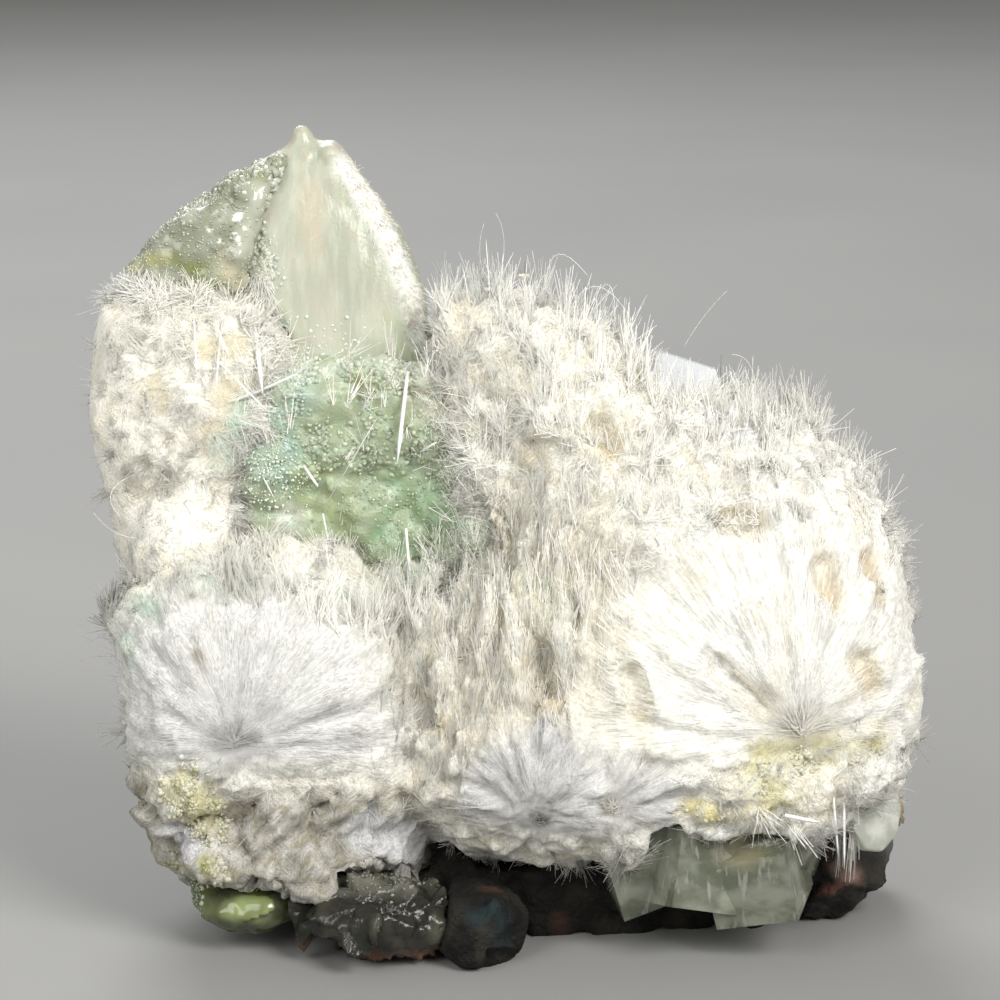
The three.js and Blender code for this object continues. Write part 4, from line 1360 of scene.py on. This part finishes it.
# %% Drips and tufts
BALL_TOP = ((-14.4, -7.6, 20.0), (-9.5, -8.2, 18.6), (-5.0, -7.2, 18.2))
DRIPS = ((17.0, -8.4, 8.6), (18.2, -7.4, 8.0), (18.4, -6.6, 7.0))
TUFTS = ((13.6, -10.4, 8.6), (14.8, -10.2, 8.4))
UP_OVER = aimed(0.3, (0.0, 0.1, 1.0), 0.8, 0.9, 98)
DOWN = aimed(0, (0.05, -0.2, -1.0), 0.3, 1.0, 111)
SIDEWAYS = aimed(0, (0.4, -0.6, -0.6), 0.3, 1.0, 112)
for name, path, near_by, back, aim, number, each, spread, length, warm, seed in (
    ("sprays_over_green", BALL_TOP, (0.6, 1.5), 0.6, UP_OVER, 130, (4, 10), (0.1, 0.5), (0.8, 3.0), 0.3, 98),
    ("drips", DRIPS, (0.4, 1.1), 0.4, DOWN, 7, (24, 34), (0.04, 0.12), (0.8, 3.4), 0.2, 111),
    ("low_tufts", TUFTS, (0.4, 1.1), 0.4, SIDEWAYS, 9, (8, 16), (0.2, 0.7), (0.5, 2.0), 0.2, 112),
):
    sprays(
        name, body, BODY, number, each,
        lambda points, normals: near_path(points, path, *near_by) * (normals[:, 1] < back),
        aim, spread, length, (0.03, 0.07), warm, seed,
    )

# %% [markdown]
# A few needles stand out by their size: thick ones across the pocket and in the nest, icicles at the
# lower right and spikes on the crest. They are single six-sided rods.

# %% Long needles
clear_needle = Finish("long_needles", roughness=0.2, specular_ior_level=0.6)
clear_needle.colour(
    clear_needle.mix((0.93, 0.94, 0.92), (0.99, 0.99, 0.97), clear_needle.noise(clear_needle.mm, 1.5))
)
rods("pocket_needles", OVER_POCKET, clear_needle, (
    ((-5.4, -3.6, 31.4), (-5.8, -5.4, 27.9), 0.28),
    ((-9.8, -4.4, 24.3), (-7.7, -5.2, 28.0), 0.08),
    ((-10.0, -4.6, 23.8), (-9.3, -5.3, 20.4), 0.12),
    ((-5.5, -4.7, 23.0), (-5.3, -5.2, 20.6), 0.16),
    ((-4.7, -4.6, 27.2), (-4.0, -5.0, 27.7), 0.14),
    ((-11.0, -4.4, 26.4), (-10.4, -4.9, 25.6), 0.16),
    ((-13.6, -4.6, 26.6), (-12.8, -5.2, 25.2), 0.10),
    ((-12.4, -4.0, 30.8), (-14.4, -4.4, 30.1), 0.12),
), 81)
rods("icicles", BODY, clear_needle, (
    ((17.5, -9.4, 9.2), (17.8, -8.9, 6.4), 0.16),
    ((18.1, -9.2, 9.0), (18.2, -8.8, 5.9), 0.14),
    ((14.8, -10.6, 8.6), (16.3, -10.3, 8.2), 0.24),
    ((-0.9, -3.0, 34.6), (-1.1, -3.0, 37.6), 0.09),
    ((-0.5, -3.0, 34.6), (-0.3, -3.0, 37.0), 0.07),
    ((0.8, -3.0, 34.6), (1.0, -3.0, 36.8), 0.07),
    ((-1.9, -3.0, 34.0), (-2.3, -3.0, 36.4), 0.08),
), 85)
rods("nest_long_needles", NEST, clear_needle, (
    ((-13.8, -1.6, 34.4), (-13.3, -4.2, 31.4), 0.28),
    ((-16.9, -3.3, 34.2), (-16.7, -4.9, 32.2), 0.16),
    ((-15.4, -3.0, 34.2), (-15.6, -4.8, 31.4), 0.16),
    ((-16.2, -2.6, 35.0), (-15.2, -4.4, 33.0), 0.12),
    ((-17.8, -3.6, 33.4), (-16.4, -4.6, 31.2), 0.12),
    ((-14.4, -4.2, 30.0), (-12.0, -4.9, 31.2), 0.20),
    ((-15.6, -4.4, 32.2), (-13.4, -4.9, 30.0), 0.12),
), 82)

# %% [markdown]
# Some fibres are so long and thin that they bend. Each is a chain of thin rods along a curve through
# a few places.


# %% Bent threads
def thread(places, width, pieces=9):
    """Rods along a smooth curve through three places."""
    start, middle, end = (np.array(place, float) for place in places)
    steps = np.linspace(0, 1, pieces + 1)[:, None]
    pull = 2 * middle - (start + end) / 2
    curve = start * (1 - steps) ** 2 + pull * 2 * steps * (1 - steps) + end * steps ** 2
    return [(a, b + (b - a) * 0.08, width) for a, b in zip(curve, curve[1:])]


THREADS = (
    ((2.0, -2.6, 35.4), (2.6, -2.6, 37.6), (4.2, -2.4, 36.6)),
    ((4.4, -2.4, 34.8), (5.4, -2.6, 36.0), (5.8, -2.8, 34.6)),
    ((3.6, -2.2, 35.0), (5.0, -2.2, 35.8), (6.6, -2.2, 34.2)),
    ((-0.4, -2.6, 36.4), (-0.2, -2.6, 38.4), (-0.6, -2.6, 39.8)),
    ((-1.2, -2.6, 36.2), (-1.5, -2.6, 37.8), (-1.3, -2.6, 39.2)),
    ((9.6, -1.6, 32.4), (10.6, -1.6, 34.0), (11.8, -1.6, 35.4)),
    ((-4.0, -2.6, 34.6), (-3.4, -2.8, 35.6), (-2.6, -2.8, 34.4)),
    ((-20.2, -5.0, 26.0), (-21.4, -5.0, 25.0), (-21.0, -5.0, 23.8)),
    ((-20.0, -5.4, 22.6), (-21.2, -5.6, 23.0), (-22.2, -5.8, 24.0)),
    ((13.4, -2.6, 30.6), (13.0, -2.8, 31.8), (12.2, -2.8, 32.2)),
)
rods("bent_threads", BODY, clear_needle, [rod for places in THREADS for rod in thread(places, 0.028)], 84)

# %% Grainy places on the okenite
random = np.random.default_rng(83)


def in_clumps(points, normals):
    clumps = share_of(bumps(points, 0.8, 17) * 4 + 0.3) * (normals[:, 1] < 0.3)
    return in_places(points, GRAINY, 0.3, 1.4) * clumps * (1 - 0.6 * (points[:, 0] > 0))


roots, facing = scatter(body, 1200, in_clumps, 83)
honey = gem("honey_grains", roughness=0.25, specular_ior_level=0.5)
colours = blended(body_tint(roots) * 0.9, (0.62, 0.61, 0.53), random.random(1200) * 0.8)
colours = blended(colours, (0.34, 0.33, 0.12), random.random(1200) ** 5)
sizes = chips(random, 1200, 0.06, 0.26, (0.5, 1.4))
sprinkle("grainy_places", GREEN_ON_BODY, honey, GRAIN, roots, facing, sizes, colours, 83, tip=1.0)

# %% [markdown]
# ## The foot
#
# Under the okenite the foot shows what the piece grew on. Each of its pieces keeps the form of its
# solid, with its own skin: a glassy olive nodule, dark chalcedony, blocky grey-green crystals that
# let light through, and rough basalt with rust along its edges.

# %% Nodule
NODULE_SPOTS = (
    ((0.20, 0.06, 0.03), (-13.6, -9.0, 0.8), (-11.6, -8.0, 1.4), 0.7),
    ((0.62, 0.64, 0.55), (-18.0, -7.4, 3.8), (-17.2, -8.8, 1.8), 0.6),
    ((0.40, 0.42, 0.08), (-16.6, -8.2, 4.6), (-14.8, -8.8, 4.4), 0.6),
    ((0.24, 0.30, 0.10), (-15.0, -9.4, 3.0), (-13.4, -9.2, 2.8), 0.9),
)


def nodule_tint(points):
    paler = share_of(bumps(points, 1.5, 5) * 1.8 + 0.3)
    return patches(points, layered(points, (0.030, 0.038, 0.004), ((0.10, 0.125, 0.015), paler)), NODULE_SPOTS)


nodule = core_of("prehnite_nodule", "nodule_body", 0.16, 4, grow=0.05)
points, normals = points_of(nodule)
raise_by(nodule, 0.3 * facets(points, 2.0, 4) + 0.15 * bumps(points, 1.0, 2) - 0.1)
points, normals = points_of(nodule)
paint(nodule, nodule_tint(points))
glass = gem(
    "olive_prehnite", roughness=0.12, specular_ior_level=0.6, subsurface_weight=0.3, subsurface_scale=0.001
)
dress(nodule, NODULE, glass)


def nodule_rim(points, normals):
    return near_line(points, (-17.9, -7.0, 4.2), (-17.4, -8.8, 1.6), 0.5, 1.2) + 0.5 * (points[:, 2] > 4.2)


random = np.random.default_rng(101)
roots, facing = scatter(nodule, 420, nodule_rim, 101)
sizes = chips(random, 420, 0.06, 0.25)
colours = blended(nodule_tint(roots), (0.66, 0.67, 0.55), random.random(420) * 0.7)
sprinkle("nodule_crystals", NODULE, glass, GRAIN, roots, facing, sizes, colours, 101)


# %% Grey chalcedony
def chalcedony_tint(points):
    return layered(
        points, (0.014, 0.014, 0.010),
        ((0.065, 0.064, 0.048), share_of(bumps(points, 1.5, 3) * 1.7 + 0.1)),
        ((0.24, 0.235, 0.19), share_of((points[:, 2] - 3.8) / 0.8) * 0.6),
        ((0.20, 0.08, 0.04), share_of((1.3 - points[:, 2]) / 0.8) * 0.7),
    )


chalcedony = core_of("foot_chalcedony", "foot_chalcedony_lump", 0.17, 2, grow=0.05)
points, normals = points_of(chalcedony)
broken = 0.9 * facets(points, 2.2, 5) + 0.5 * facets(points, 0.9, 2) + 0.1 * bumps(points, 0.5, 3)
raise_by(chalcedony, broken - 0.1)
points, normals = points_of(chalcedony)
paint(chalcedony, chalcedony_tint(points))
smoky = Finish("grey_chalcedony", roughness=0.16, specular_ior_level=0.4)
smoky.colour(smoky.mix(smoky.painted(), (0.16, 0.16, 0.13), smoky.noise(smoky.mm, 2.0) * 0.12))
smoky.bump(smoky.noise(smoky.mm, 4, 4), 0.5, 0.08)
dress(chalcedony, GREY_LUMP, smoky)
random = np.random.default_rng(102)
roots, facing = scatter(chalcedony, 160, lambda p, n: share_of(p[:, 2] - 3.6), 102)
sizes = chips(random, 160, 0.06, 0.20)
colours = blended(chalcedony_tint(roots), (0.40, 0.40, 0.34), random.random(160) ** 2 * 0.8)
sprinkle("chalcedony_grains", GREY_LUMP, smoky, GRAIN, roots, facing, sizes, colours, 102)

# %% [markdown]
# The blocky crystals are cubes set at a slant, each with one corner cut off by a plane. They are
# joined where they cross, and their edges are broken a little so that they catch the light.

# %% Blocky crystals
BLOCKS = (
    ((13.6, -8.0, 4.4), (4.6, 4.6, 3.8), (8, -12, -16), (-0.5, -0.6, 0.7), (12.2, -9.6, 6.2)),
    ((10.2, -8.3, 4.8), (4.2, 3.8, 4.2), (-12, 14, 22), (0.7, -0.4, 0.6), (11.2, -9.8, 6.6)),
    ((6.9, -6.6, 4.5), (3.2, 4.2, 3.6), (14, -18, 10), (-0.6, -0.5, 0.6), (5.8, -8.2, 5.6)),
    ((15.8, -6.2, 5.8), (2.4, 3.4, 3.4), (-12, 16, -26), (0.6, -0.2, 0.7), (16.4, -7.4, 6.9)),
    ((12.6, -6.8, 7.0), (2.6, 3.2, 2.2), (16, 22, 34), (-0.4, -0.6, 0.7), (12.0, -8.0, 7.4)),
    ((8.4, -7.2, 6.8), (2.2, 3.0, 2.0), (-18, -20, 12), (-0.6, -0.4, 0.6), (7.8, -8.4, 7.3)),
)
parts = []
for middle, size, turn, slope, cut in BLOCKS:
    bpy.ops.object.select_all(action="DESELECT")
    bpy.ops.mesh.primitive_cube_add(
        size=MM, location=Vector(middle) * MM, rotation=[math.radians(angle) for angle in turn], scale=size
    )
    bpy.ops.object.transform_apply()
    bpy.ops.object.mode_set(mode="EDIT")
    bpy.ops.mesh.select_all(action="SELECT")
    bpy.ops.mesh.bisect(plane_co=Vector(cut) * MM, plane_no=slope, clear_outer=True, use_fill=True)
    bpy.ops.object.mode_set(mode="OBJECT")
    parts.append(bpy.context.object)
only(parts[0])
for part in parts[1:]:
    finish_modifier("BOOLEAN", operation="UNION", object=part, solver="EXACT")
only(*parts[1:])
bpy.ops.object.delete()
blocks = parts[0]
only(blocks)
blocks.name = "foot_crystal_blocks"
finish_modifier("BEVEL", width=0.07 * MM, segments=2, limit_method="ANGLE")
finish_modifier("TRIANGULATE")
bpy.ops.object.mode_set(mode="EDIT")
bpy.ops.mesh.select_all(action="SELECT")
bpy.ops.mesh.normals_make_consistent(inside=False)
bpy.ops.object.mode_set(mode="OBJECT")
bpy.ops.object.shade_smooth_by_angle(angle=math.radians(25))
print("blocks", len(blocks.data.polygons), "faces")

cloudy = Finish("grey_crystal", roughness=0.16, transmission_weight=0.6, ior=1.5)
haze = cloudy.noise(cloudy.vector("MULTIPLY", cloudy.mm, (0.7, 0.7, 1.2)), 0.6, 4)
veins = cloudy.noise(cloudy.vector("MULTIPLY", cloudy.mm, (2.4, 2.4, 0.4)), 1.0, 4)
milk = cloudy.mix((0.24, 0.27, 0.19), (0.55, 0.57, 0.47), cloudy.fade(haze, 0.35, 0.65))
milk = cloudy.mix(milk, (0.80, 0.81, 0.74), cloudy.fade(veins, 0.56, 0.7) * 0.7)
yellow = cloudy.length(cloudy.vector("SUBTRACT", cloudy.mm, (12.6, -9.8, 7.0)))
cloudy.colour(cloudy.mix((0.72, 0.66, 0.40), milk, cloudy.fade(yellow, 0.4, 2.2)))
cloudy.bump(haze + 0.3 * veins, 0.4, 0.15)
dress(blocks, BLOCKS_HOME, cloudy)

# %% [markdown]
# At the rim, above the basalt, sit a tan crystal with broken faces and in front of it a pale rounded
# plate that lets some light through.

# %% Rim crystal
rim = core_of("rim_blade", "rim_crystal", 0.14, 1)
points, normals = points_of(rim)
raise_by(rim, 0.9 * facets(points, 1.6, 3) + 0.3 * facets(points, 0.7, 5) - 0.05)
amber = Finish("rim_crystal", roughness=0.2, transmission_weight=0.3, ior=1.5)
stain = amber.fade(amber.noise(amber.mm, 0.8, 3), 0.35, 0.65)
amber.colour(amber.mix((0.42, 0.30, 0.16), (0.70, 0.64, 0.48), stain))
amber.bump(amber.noise(amber.mm, 3, 3), 0.4, 0.08)
dress(rim, RIM, amber)

bpy.ops.object.select_all(action="DESELECT")
bpy.ops.mesh.primitive_cylinder_add(
    vertices=9, radius=1.6 * MM, depth=0.9 * MM, location=(0.0199, -0.0068, 0.0076),
    rotation=[math.radians(angle) for angle in (74, 12, 24)],
)
plate = bpy.context.object
plate.name = "rim_plate"
bpy.ops.transform.resize(value=(1, 1, 1.45))
bpy.ops.object.transform_apply()
finish_modifier("BEVEL", width=0.22 * MM, segments=2, limit_method="ANGLE")
finish_modifier("TRIANGULATE")
bpy.ops.object.shade_smooth_by_angle(angle=math.radians(40))
pale = Finish("pale_plate", roughness=0.2, transmission_weight=0.3, ior=1.5)
clouds = pale.fade(pale.noise(pale.mm, 0.9, 4), 0.35, 0.65)
pale.colour(pale.mix((0.50, 0.53, 0.46), (0.80, 0.81, 0.75), clouds))
pale.bump(pale.noise(pale.mm, 3, 3), 0.4, 0.1)
dress(plate, RIM, pale)

# %% Basalt
rock = core_of("basalt_matrix", "basalt_rock", 0.25, 2, grow=0.05)
points, normals = points_of(rock)
broken = 0.55 * facets(points, 3.2, 7) + 0.3 * facets(points, 1.4, 3) + 0.15 * bumps(points, 0.6, 2)
raise_by(rock, broken - 0.1)
only(rock)
finish_modifier("SMOOTH", factor=0.5, iterations=2)
points, normals = points_of(rock)
ROCK_SPOTS = (
    ((0.016, 0.030, 0.033), (-2.2, -11.4, 4.4), (0.4, -11.0, 1.6), 1.1),
    ((0.22, 0.09, 0.045), (-3.2, -11.6, 4.0), (-1.0, -11.6, 5.2), 0.4),
    ((0.36, 0.28, 0.08), (3.6, -10.6, 3.0), (6.0, -10.4, 2.6), 0.5),
    ((0.24, 0.16, 0.13), (18.0, -4.6, 5.0), (19.4, -4.4, 3.0), 1.0),
    ((0.13, 0.06, 0.04), (17.0, -4.8, 2.4), (20.0, -4.4, 2.2), 0.6),
    ((0.10, 0.13, 0.15), (21.0, -2.0, 6.0), (20.6, 2.0, 4.0), 1.8),
)
# Near-black at the front: the basalt's own dark, deepened as painted shade of the hollow under the okenite.
# Weathered and lighter toward the back.
weathered_and_unshaded = share_of((points[:, 1] + 4) / 6)
tint = layered(
    points, (0.008, 0.0075, 0.0065),
    ((0.030, 0.026, 0.020), share_of(bumps(points, 1.6, 4) * 1.8)),
    ((0.10, 0.045, 0.025), share_of(bumps(points, 2.6, 8) * 3 - 1.2) * 0.6),
    ((0.20, 0.185, 0.16), weathered_and_unshaded * share_of(0.45 + 0.6 * bumps(points, 2.2, 14))),
    ((0.55, 0.53, 0.46), weathered_and_unshaded * share_of(bumps(points, 1.5, 11) * 5 - 1.9)),
)
paint(rock, patches(points, tint, ROCK_SPOTS))
lava = Finish("basalt", roughness=0.8, specular_ior_level=0.25)
dust = lava.fade(lava.noise(lava.mm, 5, 4), 0.6, 0.75)
lava.colour(lava.mix(lava.painted(), (0.06, 0.056, 0.047), dust * 0.4))
lava.bump(lava.noise(lava.mm, 3, 6), 0.9, 0.3)
dress(rock, ROCK, lava)

# %% [markdown]
# ## The clear blades
#
# Two clear, thin crystals stand behind the crest. They keep their solids and take a glassy finish,
# faintly blue and a little cloudy.

# %% Clear blades
ice = Finish("clear_crystal", roughness=0.2, transmission_weight=0.3, ior=1.45)
ice.colour(ice.mix((0.84, 0.89, 0.97), (0.96, 0.98, 1.0), ice.noise(ice.mm, 1.2, 3)))
for name in ("clear_blade_left", "clear_blade_right"):
    wear(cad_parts[name], ice)
